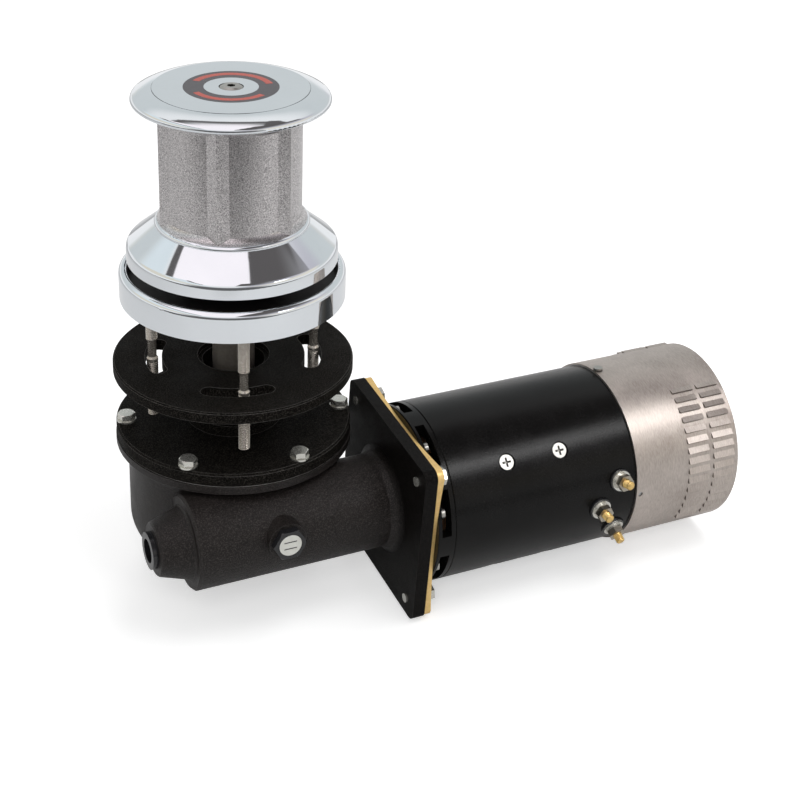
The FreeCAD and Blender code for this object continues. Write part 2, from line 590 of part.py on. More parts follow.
housing = housing.cut(rod(WHEEL_TIP_R + 3.0, WHEEL_LOW - 6.0, FLANGE_UP + 6.0))
housing = housing.cut(rod(LOW_BEARING_R + FIT, BOWL_FLOOR, LOW_BEARING_TOP + 1.0))
for hole in around(rod(BOLT_R + FIT, HOUSING_RIM_LOW - 4, HOUSING_TOP + 1, COVER_BOLT_R),
    COVER_BOLTS, COVER_BOLT_ANGLE):
    housing = housing.cut(hole)
flange_hole = rod(BOLT_R + FIT, FLANGE_X - 6.0, ADAPTOR_X + 1.0, 0.0, -FLANGE_BOLT_R)
flange_holes = [lay(h) for h in around(flange_hole, 4, FLANGE_BOLT_ANGLE)]
housing = housing.cut(flange_holes)
PLUG_R = 9.0
PLUG_L = 12.0
housing = housing.cut(Part.makeCylinder(PLUG_R + FIT, PLUG_L + 1.0, Vector(0, OIL_FACE - 1.0, OIL_Z),
    Vector(0, 1, 0)))
housing = housing.removeSplitter()
save("gearbox_housing", housing)

# Oil plug with its window disc, pointing to the front.
WINDOW_R = 9.5
plug = hexagon(25.0, -6.0, 0.0).common(lathe([(0, -6.0), (13.2, -6.0), (14.4, -4.8), (14.4, 0), (0, 0)]))
plug = plug.fuse(rod(PLUG_R, 0.0, PLUG_L - 1.0))
plug = plug.cut(rod(WINDOW_R + 0.05, -7.0, -4.4)).removeSplitter()
window = rod(WINDOW_R, -5.9, -4.4)


def to_front(shape):
    copy = shape.copy()
    copy.rotate(O, Vector(1, 0, 0), -90)
    copy.translate(Vector(0, OIL_FACE, OIL_Z))
    return copy


save("oil_plug", to_front(plug))
save("oil_window", to_front(window))

# Worm shaft: a single-start thread between its bearings, a square socket at the crank end.
WORM_HALF = 33.0
SEAL_W = 8.0
seal_x = RIGHT_BEARING + WORM_BEARING_W
BELL_DISC = 6.0
front_bearing = BELL_X + BELL_DISC
COUPLING_X = seal_x + SEAL_W + 1.0
COUPLING_L = front_bearing - 1.0 - COUPLING_X
WORM_END = COUPLING_X + COUPLING_L / 2.0 - 1.0
ARM_START = COUPLING_X + COUPLING_L / 2.0 + 1.0
CORE_LEFT = LEFT_BEARING + WORM_BEARING_W
half_pitch = AXIAL_PITCH / 4.0 - FLANK_GAP
slope = math.tan(pressure)
sink = WORM_ROOT_R - 1.0
turns = math.ceil((2.0 * WORM_HALF + 2.0 * AXIAL_PITCH) / AXIAL_PITCH)
low_half = half_pitch + (WORM_PITCH_R - sink) * slope
tip_half = half_pitch - (WORM_TIP_R - WORM_PITCH_R) * slope
section = Part.makePolygon([
    Vector(sink, 0, -low_half), Vector(WORM_TIP_R, 0, -tip_half), Vector(WORM_TIP_R, 0, tip_half),
    Vector(sink, 0, low_half), Vector(sink, 0, -low_half)])
helix = Part.makeHelix(AXIAL_PITCH, AXIAL_PITCH * turns, WORM_PITCH_R)
thread = Part.Wire(helix.Edges).makePipeShell([section], True, True)
if thread.Volume < 0:
    thread.reverse()
thread = moved(thread, 0, 0, -math.floor(turns / 2.0) * AXIAL_PITCH)
thread = turned(thread, 90.0)
thread = thread.common(rod(WORM_TIP_R + 2.0, -WORM_HALF, WORM_HALF))
core = lathe([
    (0, BOSS_X + 2.0), (WORM_JOURNAL_R, BOSS_X + 2.0), (WORM_JOURNAL_R, CORE_LEFT),
    (WORM_ROOT_R, CORE_LEFT),
    (WORM_ROOT_R, RIGHT_BEARING), (WORM_JOURNAL_R, RIGHT_BEARING), (WORM_JOURNAL_R, WORM_END),
    (0, WORM_END),
])
SOCKET = WORM_JOURNAL_R * 0.6
core = core.cut(box(-SOCKET, SOCKET, -SOCKET, SOCKET, BOSS_X + 1.0, BOSS_X + 20.0))
PIN_R = 2.5
pin_left = COUPLING_X + COUPLING_L * 0.25
pin_right = COUPLING_X + COUPLING_L * 0.75


def cross_hole(station, radius, reach):
    return Part.makeCylinder(radius, 2.0 * reach, Vector(-reach, 0, station), Vector(1, 0, 0))


worm = core.fuse(thread).cut(cross_hole(pin_left, PIN_R + FIT, 30.0))
save("worm_shaft", lay(worm))
left = bearing(WORM_JOURNAL_R + RUN, WORM_BEARING_R, LEFT_BEARING, CORE_LEFT)
right = bearing(WORM_JOURNAL_R + RUN, WORM_BEARING_R, RIGHT_BEARING, RIGHT_BEARING + WORM_BEARING_W)
save("worm_bearings", group([lay(left), lay(right)]))
save("worm_seal", lay(ring(WORM_BEARING_R, WORM_JOURNAL_R + RUN, seal_x, seal_x + SEAL_W)))
BUSH_FLANGE_T = 4.6
BUSH_L = 14.0
crank = ring(BUSH_FLANGE_R, WORM_JOURNAL_R + RUN, BOSS_X - BUSH_FLANGE_T, BOSS_X)
crank = crank.fuse(ring(BUSH_SPIGOT_R, WORM_JOURNAL_R + RUN, BOSS_X, BOSS_X + BUSH_L)).removeSplitter()
save("crank_bush", lay(crank))
COUPLING_R = WORM_JOURNAL_R + 8.0
coupling = ring(COUPLING_R, WORM_JOURNAL_R + FIT, COUPLING_X, COUPLING_X + COUPLING_L)
coupling = coupling.cut(cross_hole(pin_left, PIN_R + FIT, 30.0))
coupling = coupling.cut(cross_hole(pin_right, PIN_R + FIT, 30.0))
save("coupling", lay(coupling))
pins = [lay(cross_hole(x, PIN_R, COUPLING_R - 0.5)) for x in (pin_left, pin_right)]
save("coupling_pins", group(pins))

# Adaptor plate with hollowed sides, and the bolts that pass through it into the flange.
DISH = 5.0
adaptor = rounded_square(FLANGE_HALF - 0.5, FLANGE_CORNER, ADAPTOR_X, BELL_X)
span = FLANGE_HALF - FLANGE_CORNER
bend = (span * span + DISH * DISH) / (2.0 * DISH)
dish = rod(bend, ADAPTOR_X - 1.0, BELL_X + 1.0, FLANGE_HALF - 0.5 - DISH + bend, 0.0)
for cutter in around(dish, 4, 0.0):
    adaptor = adaptor.cut(cutter)
adaptor = turned(adaptor, -FLANGE_TURN)
adaptor = adaptor.cut(rod(COUPLING_R + 6.0, ADAPTOR_X - 1.0, BELL_X + 1.0))
adaptor_hole = rod(BOLT_R + 0.3, ADAPTOR_X - 1.0, BELL_X + 1.0, 0.0, -FLANGE_BOLT_R)
for hole in around(adaptor_hole, 4, FLANGE_BOLT_ANGLE):
    adaptor = adaptor.cut(hole)
BELL_SCREWS = 8
BELL_SCREW_ANGLE = -17.0
BELL_SCREW_R = MOTOR_R - 5.5
bell_hole = rod(2.5 + FIT, ADAPTOR_X + 1.0, BELL_X + 1.0, 0.0, -BELL_SCREW_R)
for hole in around(bell_hole, BELL_SCREWS, BELL_SCREW_ANGLE):
    adaptor = adaptor.cut(hole)
save("adaptor_plate", lay(adaptor))
flange_head = BELL_X + WASHER_T
flange_bolt = rod(BOLT_R, FLANGE_X - 1.5, flange_head)
flange_bolt = flange_bolt.fuse(hexagon(BOLT_FLATS, flange_head, flange_head + 5.5)).removeSplitter()
flange_bolt = moved(flange_bolt, 0.0, -FLANGE_BOLT_R)
save("flange_bolts", group([lay(b) for b in around(flange_bolt, 4, FLANGE_BOLT_ANGLE)]))
flange_washer = moved(ring(WASHER_R, BOLT_R + 0.25, BELL_X, flange_head), 0.0, -FLANGE_BOLT_R)
save("flange_washers", group([lay(w) for w in around(flange_washer, 4, FLANGE_BOLT_ANGLE)]))

# Motor bell with a window at each of its screws.
MOTOR_BEARING_R = WORM_JOURNAL_R + 13.5
MOTOR_BEARING_W = 14.0
SPIGOT = 6.0
bell = lathe([
    (WORM_JOURNAL_R + 12.0, BELL_X), (MOTOR_R - 0.8, BELL_X), (MOTOR_R, BELL_X + 0.8),
    (MOTOR_R, MOTOR_X - 0.6),
    (MOTOR_R - 0.6, MOTOR_X),
    (MOTOR_IN_R - FIT, MOTOR_X), (MOTOR_IN_R - FIT, MOTOR_X + SPIGOT), (MOTOR_IN_R - 5.0, MOTOR_X + SPIGOT),
    (MOTOR_IN_R - 5.0, BELL_X + BELL_DISC), (MOTOR_BEARING_R + 6.0, BELL_X + BELL_DISC),
    (MOTOR_BEARING_R + 6.0, front_bearing + MOTOR_BEARING_W),
    (MOTOR_BEARING_R + FIT, front_bearing + MOTOR_BEARING_W),
    (MOTOR_BEARING_R + FIT, BELL_X + BELL_DISC), (WORM_JOURNAL_R + 12.0, BELL_X + BELL_DISC),
])
WINDOW_LOW = BELL_X + 3.0
WINDOW_HIGH = MOTOR_X - 4.5
cutout = sector(MOTOR_R + 2.0, MOTOR_R - 11.0, 15.0, WINDOW_LOW, WINDOW_HIGH)
for cutter in around(cutout, BELL_SCREWS, BELL_SCREW_ANGLE):
    bell = bell.cut(cutter)
bell_clear = rod(2.8, BELL_X - 1.0, WINDOW_LOW + 1.0, 0.0, -BELL_SCREW_R)
for hole in around(bell_clear, BELL_SCREWS, BELL_SCREW_ANGLE):
    bell = bell.cut(hole)
save("motor_bell", lay(bell))
bell_screw = rod(2.5, ADAPTOR_X + 1.5, WINDOW_LOW).fuse(rod(4.2, WINDOW_LOW, WINDOW_LOW + 4.0))
bell_screw = moved(bell_screw.removeSplitter(), 0.0, -BELL_SCREW_R)
save("bell_screws", group([lay(s) for s in around(bell_screw, BELL_SCREWS, BELL_SCREW_ANGLE)]))

# Motor tube with counterbored pole screws and three terminals.
POLE_X1 = MOTOR_X + 53.6
POLE_X2 = MOTOR_X + 104.3
POLE_SINK = MOTOR_R - 4.0
POLE_HEAD_R = 6.4
POLE_BORE_R = 7.6
TERMINALS = [(MOTOR_X + 157.3, 12.7), (MOTOR_X + 138.5, -4.2), (MOTOR_X + 157.7, -24.7)]
TERMINAL_R = 4.0
INSULATOR_R = 7.5
SEAT_FLAT = MOTOR_R - 1.2
barrel = lay(lathe([
    (MOTOR_IN_R, MOTOR_X), (MOTOR_R - 0.6, MOTOR_X), (MOTOR_R, MOTOR_X + 0.6), (MOTOR_R, BAND_X),
    (MOTOR_IN_R, BAND_X),
]))
pole_bores = []
for i in range(POLES):
    for station in (POLE_X1, POLE_X2):
        angle = POLE_ANGLE + 360.0 * i / POLES
        pole_bores.append(radial(rod(POLE_BORE_R, POLE_SINK, MOTOR_R + 3.0), angle, station))
        pole_bores.append(radial(rod(4.3, MOTOR_IN_R - 4.0, POLE_SINK + 1.0), angle, station))
for station, angle in TERMINALS:
    pole_bores.append(radial(rod(10.5, SEAT_FLAT, MOTOR_R + 3.0), angle, station))
    pole_bores.append(radial(rod(INSULATOR_R + FIT, MOTOR_IN_R - 4.0, SEAT_FLAT + 1.0), angle, station))
SHIELD_SCREW_R = MOTOR_R - MOTOR_WALL / 2.0
shield_tap = rod(2.0 + FIT, BAND_X - 9.0, BAND_X + 1.0, 0.0, -SHIELD_SCREW_R)
pole_bores += [lay(h) for h in around(shield_tap, 4, 45.0)]
barrel = barrel.cut(pole_bores)
save("motor_tube", barrel)

AIR = 1.0
ARMATURE_R = MOTOR_IN_R - 18.0
SHOE_R = ARMATURE_R + AIR
BODY_R = SHOE_R + 6.0
POLE_LOW = MOTOR_X + 29.0
POLE_HIGH = MOTOR_X + 129.0
body = sector(MOTOR_IN_R - FIT, BODY_R - 1.0, 15.0, POLE_LOW, POLE_HIGH)
shoe = sector(BODY_R, SHOE_R, 32.0, POLE_LOW, POLE_HIGH)
pole = body.fuse(shoe).removeSplitter()
coil = sector(MOTOR_IN_R - 0.5, BODY_R, 31.0, POLE_LOW - 9.0, POLE_HIGH + 9.0)
coil = coil.cut(sector(MOTOR_R, BODY_R - 2.0, 15.4, POLE_LOW - FIT, POLE_HIGH + FIT))
poles = []
coils = []
pole_screws = []
for i in range(POLES):
    angle = POLE_ANGLE + 360.0 * i / POLES
    piece = lay(turned(pole, -angle))
    for station in (POLE_X1, POLE_X2):
        piece = piece.cut(radial(rod(4.0 + FIT, BODY_R, MOTOR_R), angle, station))
        pole_screw = rod(4.0, BODY_R + 1.0, POLE_SINK).fuse(rod(POLE_HEAD_R, POLE_SINK, MOTOR_R - 0.8))
        pole_screw = pole_screw.removeSplitter()
        pole_screw = pole_screw.cut(box(-4.0, 4.0, -0.9, 0.9, MOTOR_R - 2.6, MOTOR_R))
        pole_screw = pole_screw.cut(box(-0.9, 0.9, -4.0, 4.0, MOTOR_R - 2.6, MOTOR_R))
        pole_screws.append(radial(pole_screw, angle, station))
    poles.append(piece)
    coils.append(lay(turned(coil, -angle)))
save("pole_shoes", group(poles))
save("field_coils", group(coils))
save("pole_screws", group(pole_screws))

studs = []
insulators = []
washers = []
springs = []
nuts = []
NUT_T = 5.5
SPRING_T = 2.0
SPRING_R = 6.9
TIP_L = 7.0
FLANGE_OUT = SEAT_FLAT + 2.6
washer_top = FLANGE_OUT + WASHER_T
nut_low = washer_top + SPRING_T
nut_top = nut_low + NUT_T
tip = nut_top + TIP_L
end_r = TERMINAL_R - 0.1
split = box(0.0, SPRING_R + 1.0, -0.5, 0.5, washer_top - 3.0, nut_low + 3.0)
split.rotate(Vector(0, 0, washer_top + SPRING_T / 2.0), Vector(1, 0, 0), 30)
for station, angle in TERMINALS:
    post = lathe([
        (0, MOTOR_IN_R - 5.0), (6.5, MOTOR_IN_R - 5.0), (6.5, MOTOR_IN_R - 1.5),
        (TERMINAL_R, MOTOR_IN_R - 1.5),
        (TERMINAL_R, nut_top - 0.2), (end_r, nut_top + 0.6), (end_r, tip - 1.0), (end_r - 1.0, tip),
        (0, tip)])
    studs.append(radial(post, angle, station))
    shell = lathe([
        (TERMINAL_R + FIT, MOTOR_IN_R - 1.5), (INSULATOR_R, MOTOR_IN_R - 1.5), (INSULATOR_R, SEAT_FLAT),
        (10.0, SEAT_FLAT), (10.0, FLANGE_OUT), (TERMINAL_R + FIT, FLANGE_OUT)])
    insulators.append(radial(shell, angle, station))
    washers.append(radial(ring(9.0, TERMINAL_R + 0.2, FLANGE_OUT, washer_top), angle, station))
    springs.append(radial(ring(SPRING_R, TERMINAL_R + 0.2, washer_top, nut_low).cut(split), angle, station))
    nut = hexagon(BOLT_FLATS, nut_low, nut_top)
    nut = nut.cut(rod(TERMINAL_R + FIT, nut_low - 1.0, nut_top + 1.0))
    nuts.append(radial(nut, angle, station))
save("terminal_studs", group(studs))
save("terminal_insulators", group(insulators))
save("terminal_washers", group(washers))
save("terminal_springs", group(springs))
save("terminal_nuts", group(nuts))

# Armature on the motor shaft.
REAR_BEARING = END_X - 25.0
COMM_X = BAND_X + 14.0
COMM_L = 34.0
COMM_R = 28.0
SHAFT_END = REAR_BEARING + MOTOR_BEARING_W
arm_shaft = rod(WORM_JOURNAL_R, ARM_START, SHAFT_END)
arm_shaft = arm_shaft.cut(cross_hole(pin_right, PIN_R + FIT, 30.0))
save("armature_shaft", lay(arm_shaft))
iron = ring(ARMATURE_R, WORM_JOURNAL_R, POLE_LOW - 4.0, POLE_HIGH + 4.0)
SLOTS = 20
slot_box = box(-2.2, 2.2, -ARMATURE_R - 1.0, -ARMATURE_R + 12.0, POLE_LOW - 5.0, POLE_HIGH + 5.0)
iron = iron.cut(around(slot_box, SLOTS, 0.0))
save("armature_core", lay(iron))
COIL_DEPTH = 18.0
COIL_L = 10.0
coil_out = ARMATURE_R - 4.0
coil_in = coil_out - COIL_DEPTH
front_coil = ring(coil_out, coil_in, POLE_LOW - 4.0 - COIL_L, POLE_LOW - 4.0)
rear_coil = ring(coil_out, coil_in, POLE_HIGH + 4.0, POLE_HIGH + 4.0 + COIL_L)
save("armature_windings", group([lay(front_coil), lay(rear_coil)]))
comm = ring(COMM_R, WORM_JOURNAL_R, COMM_X, COMM_X + COMM_L)
SEGMENTS = 24
cut_box = box(-0.4, 0.4, -COMM_R - 1.0, -COMM_R + 2.0, COMM_X - 1.0, COMM_X + COMM_L + 1.0)
comm = comm.cut(around(cut_box, SEGMENTS, 0.0))
save("commutator", lay(comm))
front = bearing(WORM_JOURNAL_R + RUN, MOTOR_BEARING_R, front_bearing, front_bearing + MOTOR_BEARING_W)
rear = bearing(WORM_JOURNAL_R + RUN, MOTOR_BEARING_R, REAR_BEARING, SHAFT_END)
save("motor_bearings", group([lay(front), lay(rear)]))

# End shield: two rings joined by pillars, with the rear bearing seat.
SHIELD_R = MOTOR_R + 0.8 - FIT
SHIELD_T = 7.0
REAR_DISC = END_X - 11.0
shield = ring(SHIELD_R, MOTOR_IN_R - 8.0, BAND_X, BAND_X + SHIELD_T)
shield = shield.fuse(ring(MOTOR_IN_R - FIT, MOTOR_IN_R - 5.0, BAND_X - SPIGOT, BAND_X))
shield = shield.fuse(ring(SHIELD_R, WORM_JOURNAL_R + 2.0, REAR_DISC, REAR_DISC + 8.0))
shield = shield.fuse(ring(MOTOR_BEARING_R + 6.0, MOTOR_BEARING_R + FIT, REAR_BEARING, REAR_DISC))
pillar = sector(MOTOR_R - 2.0, MOTOR_R - 12.0, 9.0, BAND_X, REAR_DISC + 1.0)
shield = shield.fuse(around(pillar, POLES, 0.0)).removeSplitter()
shield_hole = rod(2.2, BAND_X - 1.0, BAND_X + SHIELD_T + 1.0, 0.0, -SHIELD_SCREW_R)
shield = shield.cut(around(shield_hole, 4, 45.0))
shield_screw = rod(2.0, BAND_X - 8.0, BAND_X + SHIELD_T)
shield_screw = shield_screw.fuse(rod(3.4, BAND_X + SHIELD_T, BAND_X + SHIELD_T + 3.0)).removeSplitter()
shield_screw = moved(shield_screw, 0.0, -SHIELD_SCREW_R)
save("shield_screws", group([lay(s) for s in around(shield_screw, 4, 45.0)]))
BAND_SCREW_X = BAND_X + 4.0
band_tap = radial(rod(2.0 + FIT, MOTOR_R - 8.0, MOTOR_R + 4.0), 93.0, BAND_SCREW_X)
save("end_shield", lay(shield).cut(band_tap))
brush_plate = ring(MOTOR_IN_R - 4.0, COMM_R + 6.0, BAND_X + SHIELD_T, BAND_X + SHIELD_T + 3.0)
for slot_pillar in around(sector(MOTOR_R, MOTOR_R - 13.0, 9.6, BAND_X, REAR_DISC), POLES, 0.0):
    brush_plate = brush_plate.cut(slot_pillar)
save("brush_plate", lay(brush_plate))
HOLD_X = BAND_X + SHIELD_T + 3.0
BRUSH_W = 14.0
BRUSH_T = 8.0
BRUSH_TOP = COMM_R + 20.0
HOLD_TOP = COMM_R + 32.0
holder = box(-BRUSH_T / 2 - 2.0, BRUSH_T / 2 + 2.0, -HOLD_TOP, -COMM_R - 4.0, HOLD_X,
    HOLD_X + BRUSH_W + 4.0)
holder = holder.cut(box(-BRUSH_T / 2 - 0.1, BRUSH_T / 2 + 0.1, -HOLD_TOP + 2.0, -COMM_R - 3.0,
                        HOLD_X + 2.0, HOLD_X + BRUSH_W + 2.2))
brush = box(-BRUSH_T / 2, BRUSH_T / 2, -BRUSH_TOP, -COMM_R - 0.4, HOLD_X + 2.0, HOLD_X + BRUSH_W + 2.0)
FOLDS = 6
STRIP_T = 0.6
STRIP_W = 6.0
fold_step = (HOLD_TOP - 2.0 - BRUSH_TOP - STRIP_T) / FOLDS
FOLD_R = 2.6
strip_low = HOLD_X + 2.0 + (BRUSH_W - STRIP_W) / 2.0
legs = []
for i in range(FOLDS):
    side_x = FOLD_R if i % 2 else -FOLD_R
    near_y = -BRUSH_TOP - fold_step * i
    far_y = near_y - fold_step
    legs.append(prism([
        (side_x, near_y), (-side_x, far_y), (-side_x, far_y - STRIP_T), (side_x, near_y - STRIP_T),
    ], strip_low, strip_low + STRIP_W))
spring = legs[0].fuse(legs[1:]).removeSplitter()
brush_angles = 45.0
save("brush_holders", group([lay(b) for b in around(holder, POLES, brush_angles)]))
save("brushes", group([lay(b) for b in around(brush, POLES, brush_angles)]))
save("brush_springs", group([lay(b) for b in around(spring, POLES, brush_angles)]))

# Cover band with pressed louvres, two columns on its front and the same mirrored on its back.
LOUVRE_STEP = 6.6
LOUVRE_FIRST = 60.9
LOUVRE_MARGIN = 4.5
right_column = END_X - LOUVRE_MARGIN - LOUVRE_L
left_column = right_column - LOUVRE_GAP - LOUVRE_L
band = lay(ring(BAND_R, BAND_IN_R, BAND_X, END_X))
half_w = LOUVRE_W / 2.0
hood = prism([
    (half_w, BAND_R - 0.6), (half_w, BAND_R - 0.1), (-half_w, BAND_R + LOUVRE_RISE),
    (-half_w, BAND_R - 0.6),
], 0.0, LOUVRE_L)
slit = prism([
    (half_w - 1.6, BAND_IN_R - 1.0), (half_w - 1.6, BAND_R - 0.4),
    (-half_w - 1.0, BAND_R + LOUVRE_RISE - 0.6),
    (-half_w - 1.0, BAND_R + 0.25), (-half_w + 0.6, BAND_R + 0.25), (-half_w + 0.6, BAND_IN_R - 1.0),
], 0.8, LOUVRE_L - 0.8)
hoods = []
slits = []
for row in range(LOUVRE_ROWS):
    for column in (left_column, right_column):
        for shape, pile in ((hood, hoods), (slit, slits)):
            piece = shape.copy()
            piece.rotate(O, Vector(0, 1, 0), 90)
            piece.rotate(O, Vector(1, 0, 0), 180.0 - LOUVRE_FIRST + LOUVRE_STEP * row)
            piece.translate(Vector(column, AXIS_Y, AXIS_Z))
            pile.append(piece)
            pile.append(piece.mirror(Vector(0, AXIS_Y, 0), Vector(0, 1, 0)))
band = band.fuse(hoods)
band = band.cut(slits)
band = band.cut(radial(rod(2.3, MOTOR_R - 4.0, BAND_R + 3.0), 93.0, BAND_SCREW_X))
band = band.cut(radial(rod(2.2, MOTOR_R - 4.0, BAND_R + 3.0), 0.0, BAND_SCREW_X))
save("cover_band", band)
band_screw = rod(2.0, MOTOR_R - 6.0, BAND_R + 0.3).fuse(rod(4.0, BAND_R + 0.3,
    BAND_R + 2.6)).removeSplitter()
save("band_screw", radial(band_screw, 93.0, BAND_SCREW_X))
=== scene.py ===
import bpy
import math
from mathutils import Matrix, Vector


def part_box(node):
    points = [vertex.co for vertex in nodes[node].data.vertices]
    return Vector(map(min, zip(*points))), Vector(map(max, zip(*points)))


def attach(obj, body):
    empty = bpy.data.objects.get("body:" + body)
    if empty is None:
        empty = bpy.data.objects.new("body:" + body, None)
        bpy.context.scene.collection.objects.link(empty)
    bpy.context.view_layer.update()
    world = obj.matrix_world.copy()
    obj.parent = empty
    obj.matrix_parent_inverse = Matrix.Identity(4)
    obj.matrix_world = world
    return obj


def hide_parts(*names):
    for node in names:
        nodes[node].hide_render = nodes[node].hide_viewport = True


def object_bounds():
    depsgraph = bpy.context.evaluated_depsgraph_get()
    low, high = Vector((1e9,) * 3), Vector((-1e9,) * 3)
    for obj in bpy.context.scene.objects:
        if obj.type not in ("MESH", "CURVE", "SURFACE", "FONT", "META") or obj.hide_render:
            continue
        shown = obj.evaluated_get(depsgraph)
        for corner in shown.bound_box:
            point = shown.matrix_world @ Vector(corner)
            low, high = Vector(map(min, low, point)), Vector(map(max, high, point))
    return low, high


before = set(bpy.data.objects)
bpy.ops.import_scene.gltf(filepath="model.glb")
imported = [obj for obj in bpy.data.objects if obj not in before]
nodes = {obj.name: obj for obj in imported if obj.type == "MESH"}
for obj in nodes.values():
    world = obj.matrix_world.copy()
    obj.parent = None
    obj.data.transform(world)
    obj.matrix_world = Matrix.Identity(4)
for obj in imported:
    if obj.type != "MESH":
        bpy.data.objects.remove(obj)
cad_low, cad_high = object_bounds()
scene = bpy.context.scene
MM = 0.001

# Sizes shared with the solids, in millimetres.
AXIS_Y = -80.0
AXIS_Z = -177.7
DRUM_TOP = 177.0
STUD_COUNT = 4
STUD_CIRCLE_R = 67.5
STUD_ANGLE = -102.9
STUD_R = 4.95
STUD_TIP = -110.0
STUD_CHAMFER = 1.2
STUD_HEAD = 11.8
STUD_SEAT_R = 4.2
SLIM_R = 3.7
SLIM_LOW = -56.0
SLIM_TOP = -38.5
POST_HEAD_R = 6.5
POST_HEAD_T = 3.5
POST_R = 4.0
POST_FOOT = 66.5
POST_END = 95.0

# Limits of the finishes on the drum, and of the painted shade in the base's recess and on the housing's
# flange face, in metres as the shaders read them.
WAIST_OUT_R = 0.0605
WAIST_LOW = 0.0676
WAIST_HIGH = 0.1595
RECESS_R = 0.0854
RECESS_LOW = 0.002
FLANGE_FACE_X = 0.103

# Detail that only the scene has. Lengths are in millimetres; GROOVE is a thread's depth per pitch.
GROOVE = 0.58
STUD_PITCH = 1.5
COLLAR_L = 2.6
POST_PITCH = 1.25
POST_THREAD = 88.4
BAND_STEPS = 40
BAND_LOW = DRUM_TOP - 0.2
BAND_HIGH = DRUM_TOP - 0.06
MARK_RISE = 3.0
MARK_HALF_L = 5.4
MARK_HALF_W = 0.45
MARK_PROUD = 0.06
MARK_SUNK = 0.2


# Shader helpers.
def tree_of(name):
    m = bpy.data.materials.new(name)
    m.use_nodes = True
    return m, m.node_tree, m.node_tree.nodes["Principled BSDF"]


def add(tree, kind, **settings):
    n = tree.nodes.new(kind)
    for key, value in settings.items():
        setattr(n, key, value)
    return n


def feed(tree, socket, value):
    """Sets a socket to a number, or links it to another node's output."""
    if isinstance(value, (int, float)):
        socket.default_value = value
    else:
        tree.links.new(value, socket)


def coords(tree, scale=(1.0, 1.0, 1.0)):
    source = add(tree, "ShaderNodeTexCoord")
    mapping = add(tree, "ShaderNodeMapping")
    mapping.inputs["Scale"].default_value = scale
    tree.links.new(source.outputs["Object"], mapping.inputs["Vector"])
    return mapping.outputs["Vector"]


def noise(tree, scale, detail=3.0, rough=0.55, stretch=(1.0, 1.0, 1.0)):
    n = add(tree, "ShaderNodeTexNoise")
    n.inputs["Scale"].default_value = scale
    n.inputs["Detail"].default_value = detail
    n.inputs["Roughness"].default_value = rough
    tree.links.new(coords(tree, stretch), n.inputs["Vector"])
    return n.outputs["Fac"]


def ramp(tree, value, low, high):
    """A colour that runs from one stop to another; each stop is a place and a colour."""
    n = add(tree, "ShaderNodeValToRGB")
    for element, (place, colour) in zip(n.color_ramp.elements, (low, high)):
        element.position = place
        element.color = (*colour, 1.0)
    tree.links.new(value, n.inputs["Fac"])
    return n.outputs["Color"]


def span(tree, value, low, high, from_low=0.0, from_high=1.0):
    n = add(tree, "ShaderNodeMapRange")
    n.inputs["From Min"].default_value = from_low
    n.inputs["From Max"].default_value = from_high
    n.inputs["To Min"].default_value = low
    n.inputs["To Max"].default_value = high
    tree.links.new(value, n.inputs["Value"])
    return n.outputs["Result"]


def math_node(tree, operation, *values):
    n = add(tree, "ShaderNodeMath", operation=operation)
    for socket, value in zip(n.inputs, values):
        feed(tree, socket, value)
    return n.outputs[0]


def product(tree, first, *others):
    total = first
    for value in others:
        total = math_node(tree, "MULTIPLY", total, value)
    return total


def dot(tree, a, b):
    """Dot product of an output with another output or with a fixed direction."""
    n = add(tree, "ShaderNodeVectorMath", operation="DOT_PRODUCT")
    tree.links.new(a, n.inputs[0])
    if isinstance(b, (tuple, Vector)):
        n.inputs[1].default_value = b
    else:
        tree.links.new(b, n.inputs[1])
    return n.outputs["Value"]


def bump(tree, shader, height, strength, distance):
    n = add(tree, "ShaderNodeBump")
    n.inputs["Strength"].default_value = strength
    n.inputs["Distance"].default_value = distance
    tree.links.new(height, n.inputs["Height"])
    tree.links.new(n.outputs["Normal"], shader.inputs["Normal"])


def edged(tree, value, low, high):
    """Zero below low, one above high, smooth between them."""
    n = add(tree, "ShaderNodeMapRange", interpolation_type="SMOOTHSTEP")
    n.inputs["From Min"].default_value = low
    n.inputs["From Max"].default_value = high
    tree.links.new(value, n.inputs["Value"])
    return n.outputs["Result"]


def mixed(tree, factor, a, b):
    """Colour a where the factor is zero, colour b where it is one."""
    n = add(tree, "ShaderNodeMix", data_type="RGBA")
    tree.links.new(factor, n.inputs["Factor"])
    for socket, value in ((n.inputs["A"], a), (n.inputs["B"], b)):
        if isinstance(value, tuple):
            socket.default_value = (*value, 1.0)
        else:
            tree.links.new(value, socket)
    return n.outputs["Result"]


def grey(value):
    return (value, value, value)


def scaled(colour, factor):
    return tuple(factor * c for c in colour)


def painted_shade_openness(tree, reach, low, high):
    """Zero in corners narrower than the reach, where painted shade goes, and one on open faces."""
    corner = add(tree, "ShaderNodeAmbientOcclusion", samples=8)
    corner.inputs["Distance"].default_value = reach
    return edged(tree, corner.outputs["AO"], low, high)


def worn_edge_highlight(tree, radius):
    """One along outer edges, where the paint is thin and a painted highlight goes, and zero elsewhere."""
    rounded = add(tree, "ShaderNodeBevel", samples=6)
    rounded.inputs["Radius"].default_value = radius
    same = dot(tree, rounded.outputs["Normal"], add(tree, "ShaderNodeNewGeometry").outputs["Normal"])
    return edged(tree, math_node(tree, "SUBTRACT", 1.0, same), 0.01, 0.10)


def radius_and_height(tree):
    """Distance from the capstan's axis, and height over the deck."""
    source = add(tree, "ShaderNodeTexCoord")
    place = add(tree, "ShaderNodeSeparateXYZ")
    tree.links.new(source.outputs["Object"], place.inputs["Vector"])
    x, y, height = place.outputs
    squares = math_node(tree, "MULTIPLY_ADD", x, x, math_node(tree, "MULTIPLY", y, y))
    return math_node(tree, "SQRT", squares), height


